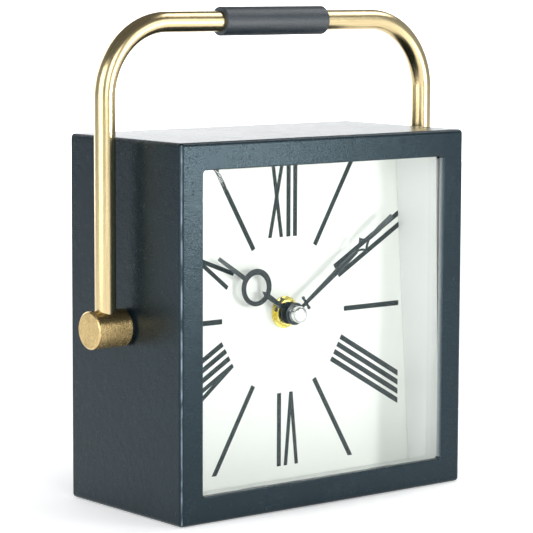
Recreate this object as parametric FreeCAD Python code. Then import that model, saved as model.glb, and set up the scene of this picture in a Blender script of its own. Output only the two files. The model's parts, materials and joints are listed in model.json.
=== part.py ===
import FreeCAD, Part
import math
import os
from FreeCAD import Vector

# A square mantel clock: a folded sheet-metal case with a glazed front opening, a deep-set dial,
# a battery movement behind it, and a brass carrying handle that swings on two side knobs.
# Millimetres. +Z is up, the dial faces -Y, and the origin is under the middle of the case.

# ---------------------------------------------------------------- driving dimensions
CASE_WIDTH = 176.0
CASE_DEPTH = 88.0
CASE_HEIGHT = 178.0
SHEET = 1.5                    # case sheet thickness
CASE_EDGE_RADIUS = 2.0         # outside bends
REAR_RIM_RADIUS = 0.6
SEAT_GAP = 0.3                 # clearance between parts that are assembled loose
RUNNING_GAP = 0.05             # radial clearance of a pin in its hole

SIDE_BORDER = 13.0             # front face beside the opening
TOP_BORDER = 14.0              # front face above and below it
OPENING_CORNER = 1.75
OPENING_EDGE_RADIUS = 0.6
HEM_DEPTH = 3.5                # return round the opening, measured from the front face

GLASS_THICKNESS = 2.0
GLASS_OVERLAP = 3.0            # glass beyond the opening, each side
CLIP_WIDTH = 14.0
CLIP_SHEET = 0.8
CLIP_REACH = 2.0               # clip tongue over the glass
CLIP_SPACING = 80.0

DIAL_DEPTH_SHARE = 0.375       # front face to dial face, as a share of the case's depth
DIAL_THICKNESS = 1.5
DIAL_MARGIN = 1.0              # dial edge to case wall
PRINT_THICKNESS = 0.1
PRINT_DROP = 0.5               # middle of the numbers below the middle of the case
SHAFT_RISE = 1.0               # hand shaft above the middle of the case
PRINT_INNER_RADIUS = 38.5
STROKE_WIDTH = 2.5
FINE_STROKE = 2.1

LINER_SHEET = 1.0
LINER_FLOOR_GAP = 6.9          # liner floor above the base
LINER_ROOF_GAP = 8.0           # liner roof below the case top
LINER_LEFT_GAP = 9.0           # left wall inside the case's side
LINER_RIGHT_FRONT_GAPS = (9.1, 13.3)    # right wall at the glass: at the floor, at the roof
LINER_RIGHT_REAR_GAPS = (5.1, 16.3)     # right wall at the dial: at the floor, at the roof

STUD_INSET = 7.0               # dial stud from the dial's edge
STUD_RADIUS = 1.5
STUD_LENGTH = 7.0
BRACKET_WIDTH = 14.0
BRACKET_SHEET = 1.5
BRACKET_ARM = 11.0
SMALL_NUT_FLATS = 5.5
SMALL_NUT_HEIGHT = 2.4

BACK_RECESS = 4.8              # rear rim to the back panel's outside
BACK_SHEET = 1.2
BACK_FLANGE = 9.0              # flange behind the back panel, from the case wall
BACK_SCREW_RADIUS = 1.5
BACK_SCREW_HEAD_RADIUS = 2.9
BACK_SCREW_HEAD_HEIGHT = 1.6
BACK_SCREW_LENGTH = 6.0
SCREW_HEAD_EDGE = 0.6
DRIVE_HALF_LENGTH = 2.0        # the cross cut in a screw's head
DRIVE_HALF_WIDTH = 0.35
DRIVE_DEPTH = 0.9
CLINCH_NUT_RADIUS = 3.0
CLINCH_NUT_HEIGHT = 2.0

WINDOW_WIDTH = 96.0
WINDOW_HEIGHT = 96.0
WINDOW_CORNER = 4.0
DOOR_OVERLAP = 4.0
DOOR_SHEET = 1.2
HINGE_BARREL_RADIUS = 1.5
HINGE_PIN_RADIUS = 0.75
HINGE_KNUCKLES = 5
HINGE_LENGTH = 60.0
HINGE_LEAF_WIDTH = 8.0
HINGE_SHEET = 0.6
RIVET_RADIUS = 1.2
RIVET_HEAD_RADIUS = 2.0
RIVET_HEAD_HEIGHT = 0.6
PULL_RADIUS = 4.5
PULL_HEIGHT = 2.8
PULL_INSET = 12.0              # pull from the door's free edge
PULL_EDGE = 0.8
MAGNET_RADIUS = 4.0
MAGNET_THICKNESS = 2.0
MAGNET_MARGIN = 0.5            # magnet to the window's edge

PIVOT_RADIUS = 3.0             # handle pivot stud
PIVOT_BUSH_WALL = 1.5
PIVOT_FLANGE_RADIUS = 7.0
PIVOT_FLANGE = 0.8
PIVOT_STANDOFF = 1.0           # case side to knob
DOUBLER_SIZE = 32.0
DOUBLER_SHEET = 2.0
KNOB_RADIUS = 9.0
KNOB_LENGTH = 19.5
KNOB_CHAMFER = 0.6
TUBE_RADIUS = 5.0
TUBE_WALL = 1.2
TUBE_CENTRE_OUT = 11.0         # case side to handle leg
TUBE_SOCKET = 4.0              # leg depth in the knob
HANDLE_RISE = 142.8            # pivot to the middle of the crossbar
HANDLE_BEND = 35.0
GRIP_LENGTH = 63.5
GRIP_RADIUS = 7.0
GRIP_EDGE = 0.5
LOCK_NUT_FLATS = 10.0
LOCK_NUT_HEIGHT = 6.0
SPRING_WASHER_RADIUS = 6.2
SPRING_WASHER = 1.2
WASHER_PLAY = 0.2              # doubler to spring washer
STUD_PROUD = 1.0               # stud end beyond its nut
DOUBLER_MARGIN = 1.5           # dial back to the doubler's front edge

MOVEMENT_SIZE = 56.0
MOVEMENT_DEPTH = 16.0
HOUSING_WALL = 1.2
POST_RADIUS = 1.3              # posts that carry the train plate
POST_INSET = 1.8
ARBOR_SOCKET_DEPTH = 0.8
DIAL_HOLE_PLAY = 0.15
RUBBER_THICKNESS = 1.0
RUBBER_RADIUS = 11.0
BUSHING_RADIUS = 3.95
BUSHING_PROUD = 3.4            # bushing end beyond the dial face
BRASS_WASHER_RADIUS = 7.9
BRASS_WASHER_THICKNESS = 1.0
HEX_NUT_FLATS = 12.7
HEX_NUT_HEIGHT = 2.2

HOUR_TUBE_RADIUS = 2.5
MINUTE_ARBOR_RADIUS = 1.7
REAR_PIVOT_RADIUS = 0.6
HAND_SHEET = 0.6
HOUR_HAND_STANDOFF = 4.2       # dial face to the back of the hour hand
MINUTE_HAND_STANDOFF = 8.3
HOUR_HAND_LENGTH = 53.0
MINUTE_HAND_LENGTH = 76.5
HOUR_ANGLE = -56.0             # degrees clockwise from twelve
MINUTE_ANGLE = 54.6
BOSS_RADIUS = 5.5
COLLET_WALL = 1.1
HOUR_COLLET = 0.5
MINUTE_COLLET = 2.4
CAP_RADIUS = 4.15
CAP_RIM = 3.2
CAP_HEIGHT = 5.0

BATTERY_RADIUS = 7.15          # AA size
BATTERY_LENGTH = 50.5
BATTERY_NUB_RADIUS = 2.75
BATTERY_NUB = 1.0
CONTACT_SHEET = 0.4
CONTACT_HALF_WIDTH = 4.0
CONTACT_HALF_DEPTH = 5.0
DIVIDER = 1.0                  # wall between the battery bay and the wheels

WHEEL_SHEET = 0.8
WHEEL_PITCH = 1.5              # step from one wheel's level to the next
PLATE_SHEET = 0.8
ARBOR_RADIUS = 0.4
CENTRE_PLAY = 0.04             # extra centre distance in each gear pair
TOOTH_PLAY = 0.06              # backlash at the pitch circle
KNOB_ARBOR_RADIUS = 1.0
SETTING_KNOB_RADIUS = 6.0
SETTING_KNOB_HEIGHT = 5.0
SETTING_KNOB_GROOVES = 18
SETTING_KNOB_GROOVE_RADIUS = 0.5

# teeth of wheel and pinion, and module, for each gear pair
MOTION_TEETH, MOTION_PINION, MOTION_MODULE = 42, 14, 0.375      # minute wheel, arbor pinion
HOUR_TEETH, HOUR_PINION, HOUR_MODULE = 48, 12, 0.35             # hour wheel, minute wheel's pinion
CENTRE_TEETH, CENTRE_MODULE = 64, 0.25                          # centre wheel, third pinion
THIRD_TEETH, THIRD_MODULE = 60, 0.2                             # third wheel, seconds pinion
SECONDS_TEETH, SECONDS_MODULE = 40, 0.25                        # seconds wheel, step pinion
STEP_TEETH, STEP_MODULE = 48, 0.2                               # step wheel, rotor pinion
TRAIN_PINION = 8

# ---------------------------------------------------------------- places worked out from them
HALF_WIDTH = CASE_WIDTH / 2
HALF_DEPTH = CASE_DEPTH / 2
INNER_HALF_WIDTH = HALF_WIDTH - SHEET
OPENING_WIDTH = CASE_WIDTH - 2 * SIDE_BORDER
OPENING_HEIGHT = CASE_HEIGHT - 2 * TOP_BORDER
PRINT_HALF_SQUARE = min(OPENING_WIDTH, OPENING_HEIGHT) / 2      # the numbers end on this square
DIAL_RECESS = DIAL_DEPTH_SHARE * CASE_DEPTH
LINER_FLOOR = LINER_FLOOR_GAP
LINER_ROOF = CASE_HEIGHT - LINER_ROOF_GAP
LINER_LEFT = -HALF_WIDTH + LINER_LEFT_GAP
LINER_RIGHT_FRONT = tuple(HALF_WIDTH - gap for gap in LINER_RIGHT_FRONT_GAPS)
LINER_RIGHT_REAR = tuple(HALF_WIDTH - gap for gap in LINER_RIGHT_REAR_GAPS)
AXIS_HEIGHT = CASE_HEIGHT / 2
SHAFT_HEIGHT = AXIS_HEIGHT + SHAFT_RISE
PRINT_HEIGHT = AXIS_HEIGHT - PRINT_DROP
GLASS_FRONT = -HALF_DEPTH + HEM_DEPTH + SEAT_GAP
GLASS_BACK = GLASS_FRONT + GLASS_THICKNESS
DIAL_FACE = -HALF_DEPTH + DIAL_RECESS
DIAL_BACK = DIAL_FACE + DIAL_THICKNESS
DIAL_HALF_WIDTH = INNER_HALF_WIDTH - DIAL_MARGIN
DIAL_HALF_HEIGHT = CASE_HEIGHT / 2 - SHEET - DIAL_MARGIN
BACK_FACE = HALF_DEPTH - BACK_RECESS
BACK_INSIDE = BACK_FACE - BACK_SHEET
FLANGE_INSIDE = BACK_INSIDE - SHEET
DOOR_INSIDE = BACK_FACE + SEAT_GAP
DOOR_OUTSIDE = DOOR_INSIDE + DOOR_SHEET
DOOR_HALF_WIDTH = WINDOW_WIDTH / 2 + DOOR_OVERLAP
DOOR_HALF_HEIGHT = WINDOW_HEIGHT / 2 + DOOR_OVERLAP
HINGE_X = DOOR_HALF_WIDTH + HINGE_BARREL_RADIUS + SEAT_GAP
HINGE_Y = BACK_FACE + HINGE_BARREL_RADIUS + SEAT_GAP

HOUSING_FRONT = DIAL_BACK + RUBBER_THICKNESS
HOUSING_FLOOR = HOUSING_FRONT + HOUSING_WALL
HOUSING_BACK = HOUSING_FRONT + MOVEMENT_DEPTH
COVER_INSIDE = HOUSING_BACK - HOUSING_WALL
HALF_MOVEMENT = MOVEMENT_SIZE / 2
HOUSING_BOTTOM = SHAFT_HEIGHT - HALF_MOVEMENT
HOUSING_TOP = SHAFT_HEIGHT + HALF_MOVEMENT
BATTERY_Z = HOUSING_BOTTOM + HOUSING_WALL + SEAT_GAP + BATTERY_RADIUS
BATTERY_Y = HOUSING_FLOOR + SEAT_GAP + BATTERY_RADIUS
BAY_TOP = BATTERY_Z + BATTERY_RADIUS + SEAT_GAP
TRAIN_BOTTOM = BAY_TOP + DIVIDER

HOUR_LEVEL = HOUSING_FLOOR + 0.2
MOTION_LEVEL = HOUR_LEVEL + WHEEL_SHEET + 0.4
PLATE_FRONT = MOTION_LEVEL + WHEEL_SHEET + 0.5
PLATE_BACK = PLATE_FRONT + PLATE_SHEET
CENTRE_LEVEL = PLATE_BACK + 0.4
THIRD_LEVEL = CENTRE_LEVEL + WHEEL_PITCH
SECONDS_LEVEL = THIRD_LEVEL + WHEEL_PITCH
STEP_LEVEL = SECONDS_LEVEL + WHEEL_PITCH
MAGNET_LEVEL = STEP_LEVEL + WHEEL_SHEET + 0.7
MAGNET_WIDTH = 2.2
ROTOR_MAGNET_RADIUS = 2.6
STATOR_LEVEL = MAGNET_LEVEL + 0.6
STATOR_SHEET = 1.0
STATOR_HALF_WIDTH, STATOR_LEG, STATOR_HALF_HEIGHT = 14.0, 2.5, 5.0
ROTOR_HOLE_PLAY, STATOR_ARBOR_HOLE = 0.6, 1.2
COIL_HALF_LENGTH, COIL_RADIUS, COIL_CHEEK_RADIUS, COIL_CHEEK = 9.6, 1.95, 2.3, 0.6
CORE_HALF_HEIGHT = 1.0
COIL_HEIGHT = HOUSING_TOP - HOUSING_WALL - 4.4

HOUR_HAND_BACK = DIAL_FACE - HOUR_HAND_STANDOFF
MINUTE_HAND_BACK = DIAL_FACE - MINUTE_HAND_STANDOFF


# ---------------------------------------------------------------- shape helpers
def block(x0, x1, y0, y1, z0, z1):
    return Part.makeBox(x1 - x0, y1 - y0, z1 - z0, Vector(x0, y0, z0))


def rod_y(radius, y0, y1, x=0.0, z=SHAFT_HEIGHT):
    return Part.makeCylinder(radius, y1 - y0, Vector(x, y0, z), Vector(0, 1, 0))


def rod_x(radius, x0, x1, y=0.0, z=AXIS_HEIGHT):
    return Part.makeCylinder(radius, x1 - x0, Vector(x0, y, z), Vector(1, 0, 0))


def rod_z(radius, z0, z1, x=0.0, y=0.0):
    return Part.makeCylinder(radius, z1 - z0, Vector(x, y, z0), Vector(0, 0, 1))


def tube_y(outer, inner, y0, y1, x=0.0, z=SHAFT_HEIGHT):
    return rod_y(outer, y0, y1, x, z).cut(rod_y(inner, y0 - 1, y1 + 1, x, z))


def sheet_y(points, y0, y1):
    """A flat plate in the XZ plane with a straight-sided outline, from y0 to y1."""
    corners = [Vector(x, y0, z) for x, z in points]
    outline = Part.makePolygon(corners + corners[:1])
    return Part.Face(outline).extrude(Vector(0, y1 - y0, 0))


def rounded_block_y(half_width, half_height, radius, y0, y1, z=AXIS_HEIGHT):
    """A block whose four edges along Y are rounded, centred on x = 0."""
    body = block(-half_width, half_width, y0, y1, z - half_height, z + half_height)
    along = [e for e in body.Edges if abs(e.tangentAt(e.FirstParameter).y) > 0.9]
    return body.makeFillet(radius, along)


def hexagon_y(flats, y0, y1, x=0.0, z=SHAFT_HEIGHT):
    radius = flats / math.sqrt(3)
    turns = [math.radians(60 * i) for i in range(6)]
    return sheet_y([(x + radius * math.sin(a), z + radius * math.cos(a)) for a in turns], y0, y1)


def hexagon_x(flats, x0, x1, y=0.0, z=AXIS_HEIGHT):
    radius = flats / math.sqrt(3)
    turns = [math.radians(60 * i) for i in range(6)]
    corners = [Vector(x0, y + radius * math.cos(a), z + radius * math.sin(a)) for a in turns]
    return Part.Face(Part.makePolygon(corners + corners[:1])).extrude(Vector(x1 - x0, 0, 0))


def edges_in_plane(shape, axis, value):
    """The edges that lie wholly in the plane axis = value."""
    low, high = axis + "Min", axis + "Max"
    found = []
    for edge in shape.Edges:
        box = edge.BoundBox
        if abs(getattr(box, low) - value) < 1e-4 and abs(getattr(box, high) - value) < 1e-4:
            found.append(edge)
    return found


def fuse_all(solids):
    body = solids[0]
    for other in solids[1:]:
        body = body.fuse(other)
    return body.removeSplitter()


def cut_all(body, tools):
    for tool in tools:
        body = body.cut(tool)
    return body


def grouped(solids):
    return Part.makeCompound(solids)


def mirrored(shape):
    """The same shape on the other side of the case."""
    return shape.mirror(Vector(0, 0, 0), Vector(1, 0, 0))


# ---------------------------------------------------------------- case, glass and liner
def back_screw_places():
    inset = BACK_FLANGE / 2
    return [(sx * (INNER_HALF_WIDTH - inset), AXIS_HEIGHT + sz * (AXIS_HEIGHT - SHEET - inset))
            for sx in (-1, 1) for sz in (-1, 1)]


def case_shell():
    body = block(-HALF_WIDTH, HALF_WIDTH, -HALF_DEPTH, HALF_DEPTH, 0, CASE_HEIGHT)
    rear = edges_in_plane(body, "Y", HALF_DEPTH)
    bends = [e for e in body.Edges if not any(e.isSame(r) for r in rear)]
    body = body.makeFillet(CASE_EDGE_RADIUS, bends)
    body = body.makeFillet(REAR_RIM_RADIUS, edges_in_plane(body, "Y", HALF_DEPTH))
    body = body.cut(block(-INNER_HALF_WIDTH, INNER_HALF_WIDTH, -HALF_DEPTH + SHEET, HALF_DEPTH + 1,
                          SHEET, CASE_HEIGHT - SHEET))
    hem = rounded_block_y(OPENING_WIDTH / 2 + SHEET, OPENING_HEIGHT / 2 + SHEET,
                          OPENING_CORNER + SHEET, -HALF_DEPTH + SHEET / 2, -HALF_DEPTH + HEM_DEPTH)
    flange = block(-INNER_HALF_WIDTH, INNER_HALF_WIDTH, FLANGE_INSIDE, BACK_INSIDE,
                   SHEET, CASE_HEIGHT - SHEET)
    flange = flange.cut(block(-INNER_HALF_WIDTH + BACK_FLANGE, INNER_HALF_WIDTH - BACK_FLANGE,
                              FLANGE_INSIDE - 1, BACK_INSIDE + 1,
                              SHEET + BACK_FLANGE, CASE_HEIGHT - SHEET - BACK_FLANGE))
    body = fuse_all([body, hem, flange])
    body = body.cut(rounded_block_y(OPENING_WIDTH / 2, OPENING_HEIGHT / 2, OPENING_CORNER,
                                    -HALF_DEPTH - 1, -HALF_DEPTH + HEM_DEPTH + 1))
    lip = [e for e in edges_in_plane(body, "Y", -HALF_DEPTH)
           if e.BoundBox.XMax < OPENING_WIDTH / 2 + 0.1 and e.BoundBox.XMin > -OPENING_WIDTH / 2 - 0.1
           and e.BoundBox.ZMax < AXIS_HEIGHT + OPENING_HEIGHT / 2 + 0.1
           and e.BoundBox.ZMin > AXIS_HEIGHT - OPENING_HEIGHT / 2 - 0.1]
    body = body.makeFillet(OPENING_EDGE_RADIUS, lip)
    holes = [rod_x(PIVOT_RADIUS + PIVOT_BUSH_WALL, -HALF_WIDTH - 1, HALF_WIDTH + 1)]
    holes += [rod_y(BACK_SCREW_RADIUS + RUNNING_GAP, FLANGE_INSIDE - 1, BACK_INSIDE + 1, x, z)
              for x, z in back_screw_places()]
    return cut_all(body, holes)


def glass_pane():
    half_width = OPENING_WIDTH / 2 + GLASS_OVERLAP
    half_height = OPENING_HEIGHT / 2 + GLASS_OVERLAP
    return block(-half_width, half_width, GLASS_FRONT, GLASS_BACK,
                 AXIS_HEIGHT - half_height, AXIS_HEIGHT + half_height)


def glass_clips():
    """Four bent tabs on the back of the front sheet, two above and two below the glass."""
    edge = OPENING_HEIGHT / 2 + GLASS_OVERLAP
    foot, tongue = -HALF_DEPTH + SHEET, GLASS_BACK
    clips = []
    for x in (-CLIP_SPACING / 2, CLIP_SPACING / 2):
        x0, x1 = x - CLIP_WIDTH / 2, x + CLIP_WIDTH / 2
        for side in (-1, 1):
            inner, outer = edge + SEAT_GAP, edge + SEAT_GAP + CLIP_SHEET
            z_post = sorted((AXIS_HEIGHT + side * inner, AXIS_HEIGHT + side * outer))
            z_tongue = sorted((AXIS_HEIGHT + side * (edge - CLIP_REACH), AXIS_HEIGHT + side * outer))
            post = block(x0, x1, foot, tongue + CLIP_SHEET, z_post[0], z_post[1])
            clips.append(fuse_all([post, block(x0, x1, tongue, tongue + CLIP_SHEET,
                                               z_tongue[0], z_tongue[1])]))
    return grouped(clips)


def liner_outline(y, right, grow):
    """The liner's section at depth y; grow moves every side outwards."""
    floor, roof = LINER_FLOOR - grow, LINER_ROOF + grow
    left = LINER_LEFT - grow
    corners = [Vector(left, y, floor), Vector(right[0] + grow, y, floor),
               Vector(right[1] + grow, y, roof), Vector(left, y, roof)]
    return Part.makePolygon(corners + corners[:1])


def face_liner():
    """The white inner frame from the glass to the dial; its right wall leans and twists."""
    front, rear = GLASS_BACK + SEAT_GAP, DIAL_FACE - PRINT_THICKNESS
    outer = Part.makeLoft([liner_outline(front, LINER_RIGHT_FRONT, LINER_SHEET),
                           liner_outline(rear, LINER_RIGHT_REAR, LINER_SHEET)], True, True)
    slope = 1.0 / (rear - front)
    near = [f - (r - f) * slope for f, r in zip(LINER_RIGHT_FRONT, LINER_RIGHT_REAR)]
    far = [r + (r - f) * slope for f, r in zip(LINER_RIGHT_FRONT, LINER_RIGHT_REAR)]
    inner = Part.makeLoft([liner_outline(front - 1, near, 0), liner_outline(rear + 1, far, 0)],
                          True, True)
    return outer.cut(inner)


# ---------------------------------------------------------------- dial
def dial_stud_places():
    return [(sx * (DIAL_HALF_WIDTH - STUD_INSET), AXIS_HEIGHT + sz * (DIAL_HALF_HEIGHT - STUD_INSET))
            for sx in (-1, 1) for sz in (-1, 1)]


def dial_plate():
    plate = block(-DIAL_HALF_WIDTH, DIAL_HALF_WIDTH, DIAL_FACE, DIAL_BACK,
                  AXIS_HEIGHT - DIAL_HALF_HEIGHT, AXIS_HEIGHT + DIAL_HALF_HEIGHT)
    return plate.cut(rod_y(BUSHING_RADIUS + DIAL_HOLE_PLAY, DIAL_FACE - 1, DIAL_BACK + 1))


def numeral_strokes():
    """Strokes of each hour: offset at the inner circle, offset at the outer end, outer radius, width."""
    side = PRINT_HALF_SQUARE
    corner = side / math.cos(math.radians(30))
    straight = STROKE_WIDTH
    strokes = {hour: [(0.0, 0.0, side, straight)] for hour in (1, 3, 5, 7, 9, 11)}
    strokes[12] = [(-9.2, -1.6, side, FINE_STROKE), (-2.0, -7.5, side, FINE_STROKE),
                   (2.4, 2.4, side, straight), (6.6, 6.6, side, straight)]
    strokes[2] = [(t, t, corner, straight) for t in (-2.6, 2.6)]
    strokes[4] = [(t, t, corner, straight) for t in (-6.1, -2.05, 2.05, 6.1)]
    strokes[6] = [(-4.5, -1.2, side, FINE_STROKE), (-4.5, -8.2, side, FINE_STROKE),
                  (3.0, 3.0, side, straight)]
    strokes[8] = [(-3.0, -3.0, corner, FINE_STROKE), (-3.0, -10.0, corner, FINE_STROKE)]
    strokes[8] += [(t, t, corner, straight) for t in (1.2, 5.5, 9.6)]
    strokes[10] = [(-3.8, 3.8, corner, FINE_STROKE), (3.8, -3.8, corner, FINE_STROKE)]
    return strokes


def stroke_solid(hour, inner, outer, outer_radius, width):
    """One printed bar, run past the square and trimmed to it."""
    turn = math.radians(30 * hour)
    lean = (outer - inner) / (outer_radius - PRINT_INNER_RADIUS)
    reach = 1.6 * PRINT_HALF_SQUARE
    half = width / 2 * math.sqrt(1 + lean * lean)
    ends = [(inner - half, PRINT_INNER_RADIUS), (inner + half, PRINT_INNER_RADIUS)]
    shift = lean * (reach - PRINT_INNER_RADIUS)
    ends += [(inner + shift + half, reach), (inner + shift - half, reach)]
    corners = [(r * math.sin(turn) + t * math.cos(turn),
                PRINT_HEIGHT + r * math.cos(turn) - t * math.sin(turn)) for t, r in ends]
    return sheet_y(corners, DIAL_FACE - PRINT_THICKNESS, DIAL_FACE)


def dial_numerals():
    side = PRINT_HALF_SQUARE
    square = block(-side, side, DIAL_FACE - 1, DIAL_FACE + 1, PRINT_HEIGHT - side, PRINT_HEIGHT + side)
    solids = []
    for hour, strokes in sorted(numeral_strokes().items()):
        bars = [stroke_solid(hour, *stroke).common(square) for stroke in strokes]
        solids += fuse_all(bars).Solids if len(bars) > 1 else bars[0].Solids
    return grouped(solids)


def dial_studs():
    return grouped([rod_y(STUD_RADIUS, DIAL_BACK, DIAL_BACK + STUD_LENGTH, x, z)
                    for x, z in dial_stud_places()])


def dial_brackets():
    """Four angles on the case sides; the dial's back lies on them."""
    solids = []
    for x, z in dial_stud_places():
        side = 1 if x > 0 else -1
        low, high = z - BRACKET_WIDTH / 2, z + BRACKET_WIDTH / 2
        wall = side * INNER_HALF_WIDTH
        inner = wall - side * BRACKET_SHEET
        tip = x - side * BRACKET_ARM / 2
        y0, y1 = DIAL_BACK, DIAL_BACK + BRACKET_SHEET
        arm = block(min(tip, wall), max(tip, wall), y0, y1, low, high)
        foot = block(min(inner, wall), max(inner, wall), y0, y0 + BRACKET_ARM, low, high)
        hole = rod_y(STUD_RADIUS + 0.2, y0 - 1, y1 + 1, x, z)
        solids.append(fuse_all([arm, foot]).cut(hole))
    return grouped(solids)


def dial_nuts():
    y0 = DIAL_BACK + BRACKET_SHEET
    return grouped([hexagon_y(SMALL_NUT_FLATS, y0, y0 + SMALL_NUT_HEIGHT, x, z).cut(
        rod_y(STUD_RADIUS, y0 - 1, y0 + SMALL_NUT_HEIGHT + 1, x, z)) for x, z in dial_stud_places()])


# ---------------------------------------------------------------- back panel and access door
def back_panel():
    gap = SEAT_GAP
    panel = block(-INNER_HALF_WIDTH + gap, INNER_HALF_WIDTH - gap, BACK_INSIDE, BACK_FACE,
                  SHEET + gap, CASE_HEIGHT - SHEET - gap)
    window = rounded_block_y(WINDOW_WIDTH / 2, WINDOW_HEIGHT / 2, WINDOW_CORNER,
                             BACK_INSIDE - 1, BACK_FACE + 1)
    holes = [rod_y(BACK_SCREW_RADIUS + RUNNING_GAP, BACK_INSIDE - 1, BACK_FACE + 1, x, z)
             for x, z in back_screw_places()]
    holes += [rod_y(RIVET_RADIUS, BACK_INSIDE - 1, BACK_FACE + 1, x, z) for x, z in rivet_places()]
    return cut_all(panel, [window] + holes)


def back_screws():
    solids = []
    for x, z in back_screw_places():
        head = rod_y(BACK_SCREW_HEAD_RADIUS, BACK_FACE, BACK_FACE + BACK_SCREW_HEAD_HEIGHT, x, z)
        top = BACK_FACE + BACK_SCREW_HEAD_HEIGHT
        head = head.makeFillet(SCREW_HEAD_EDGE, edges_in_plane(head, "Y", top))
        long, short = DRIVE_HALF_LENGTH, DRIVE_HALF_WIDTH
        cross = block(x - long, x + long, top - DRIVE_DEPTH, top + 1, z - short, z + short).fuse(
            block(x - short, x + short, top - DRIVE_DEPTH, top + 1, z - long, z + long))
        shank = rod_y(BACK_SCREW_RADIUS, BACK_FACE - BACK_SCREW_LENGTH, BACK_FACE, x, z)
        solids.append(fuse_all([head, shank]).cut(cross))
    return grouped(solids)


def clinch_nuts():
    return grouped([tube_y(CLINCH_NUT_RADIUS, BACK_SCREW_RADIUS,
                           FLANGE_INSIDE - CLINCH_NUT_HEIGHT, FLANGE_INSIDE, x, z)
                    for x, z in back_screw_places()])


def knuckle_spans(first):
    """Every other knuckle of the hinge, with a running gap at each joint."""
    step = HINGE_LENGTH / HINGE_KNUCKLES
    low = AXIS_HEIGHT - HINGE_LENGTH / 2
    return [(low + i * step + 0.1, low + (i + 1) * step - 0.1)
            for i in range(first, HINGE_KNUCKLES, 2)]


def knuckles(first, leaf_edge, y0, y1):
    """Barrels round the pin, each joined to a leaf that ends at leaf_edge."""
    solids = []
    for z0, z1 in knuckle_spans(first):
        barrel = rod_z(HINGE_BARREL_RADIUS, z0, z1, HINGE_X, HINGE_Y)
        web = block(min(leaf_edge, HINGE_X), max(leaf_edge, HINGE_X), y0, y1, z0, z1)
        solids += [barrel, web]
    return solids


def rivet_places():
    x = HINGE_X + HINGE_BARREL_RADIUS + HINGE_LEAF_WIDTH / 2 + SEAT_GAP
    return [(x, AXIS_HEIGHT + s * HINGE_LENGTH / 3) for s in (-1, 1)]


def access_door():
    door = rounded_block_y(DOOR_HALF_WIDTH, DOOR_HALF_HEIGHT, WINDOW_CORNER, DOOR_INSIDE, DOOR_OUTSIDE)
    pin_hole = rod_z(HINGE_PIN_RADIUS + RUNNING_GAP, 0, CASE_HEIGHT, HINGE_X, HINGE_Y)
    inset = DOOR_HALF_WIDTH - WINDOW_CORNER
    wings = knuckles(1, inset, DOOR_INSIDE, DOOR_OUTSIDE)
    return fuse_all([door] + wings).cut(pin_hole)


def hinge_leaf():
    """The fixed half of the hinge, riveted to the back panel."""
    y0, y1 = BACK_FACE, BACK_FACE + HINGE_SHEET
    edge = HINGE_X + HINGE_BARREL_RADIUS + SEAT_GAP
    half = HINGE_LENGTH / 2
    plate = block(edge, edge + HINGE_LEAF_WIDTH, y0, y1, AXIS_HEIGHT - half, AXIS_HEIGHT + half)
    bridge = knuckles(0, edge + 0.5, y0, y1)
    body = fuse_all([plate] + bridge)
    holes = [rod_z(HINGE_PIN_RADIUS + RUNNING_GAP, 0, CASE_HEIGHT, HINGE_X, HINGE_Y)]
    holes += [rod_y(RIVET_RADIUS, y0 - 1, y1 + 1, x, z) for x, z in rivet_places()]
    return cut_all(body, holes)


def hinge_pin():
    half = HINGE_LENGTH / 2
    return rod_z(HINGE_PIN_RADIUS, AXIS_HEIGHT - half, AXIS_HEIGHT + half, HINGE_X, HINGE_Y)


def hinge_rivets():
    outside = BACK_FACE + HINGE_SHEET
    solids = []
    for x, z in rivet_places():
        head = rod_y(RIVET_HEAD_RADIUS, outside, outside + RIVET_HEAD_HEIGHT, x, z)
        tail = rod_y(RIVET_HEAD_RADIUS, BACK_INSIDE - RIVET_HEAD_HEIGHT, BACK_INSIDE, x, z)
        solids.append(fuse_all([head, tail, rod_y(RIVET_RADIUS, BACK_INSIDE, outside, x, z)]))
    return grouped(solids)


def door_pull():
    x = -DOOR_HALF_WIDTH + PULL_INSET
    knob = rod_y(PULL_RADIUS, DOOR_OUTSIDE, DOOR_OUTSIDE + PULL_HEIGHT, x, AXIS_HEIGHT)
    return knob.makeFillet(PULL_EDGE, edges_in_plane(knob, "Y", DOOR_OUTSIDE + PULL_HEIGHT))


def catch_magnet():
    """A magnet glued behind the panel's edge, which pulls on the steel door."""
    x = -WINDOW_WIDTH / 2 - MAGNET_RADIUS - MAGNET_MARGIN
    return rod_y(MAGNET_RADIUS, BACK_INSIDE - MAGNET_THICKNESS, BACK_INSIDE, x, AXIS_HEIGHT)


# ---------------------------------------------------------------- handle and its pivots
def pivot_doublers():
    half = DOUBLER_SIZE / 2
    inner = INNER_HALF_WIDTH - DOUBLER_SHEET
    plate = block(inner, INNER_HALF_WIDTH, DIAL_BACK + DOUBLER_MARGIN, half,
                  AXIS_HEIGHT - half, AXIS_HEIGHT + half)
    plate = plate.cut(rod_x(PIVOT_RADIUS + PIVOT_BUSH_WALL, inner - 1, INNER_HALF_WIDTH + 1))
    return grouped([mirrored(plate), plate])


def pivot_bushes():
    inner = INNER_HALF_WIDTH - DOUBLER_SHEET
    barrel = rod_x(PIVOT_RADIUS + PIVOT_BUSH_WALL, inner, HALF_WIDTH)
    flange = rod_x(PIVOT_FLANGE_RADIUS, HALF_WIDTH, HALF_WIDTH + PIVOT_FLANGE)
    bush = fuse_all([barrel, flange]).cut(rod_x(PIVOT_RADIUS + RUNNING_GAP, inner - 1, HALF_WIDTH + 2))
    return grouped([mirrored(bush), bush])


def stud_span():
    """From the inner face of the lock nut to the stud's end in the knob."""
    inner = INNER_HALF_WIDTH - DOUBLER_SHEET - WASHER_PLAY - SPRING_WASHER
    return inner - LOCK_NUT_HEIGHT - STUD_PROUD, HALF_WIDTH + PIVOT_STANDOFF + KNOB_LENGTH / 2


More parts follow.
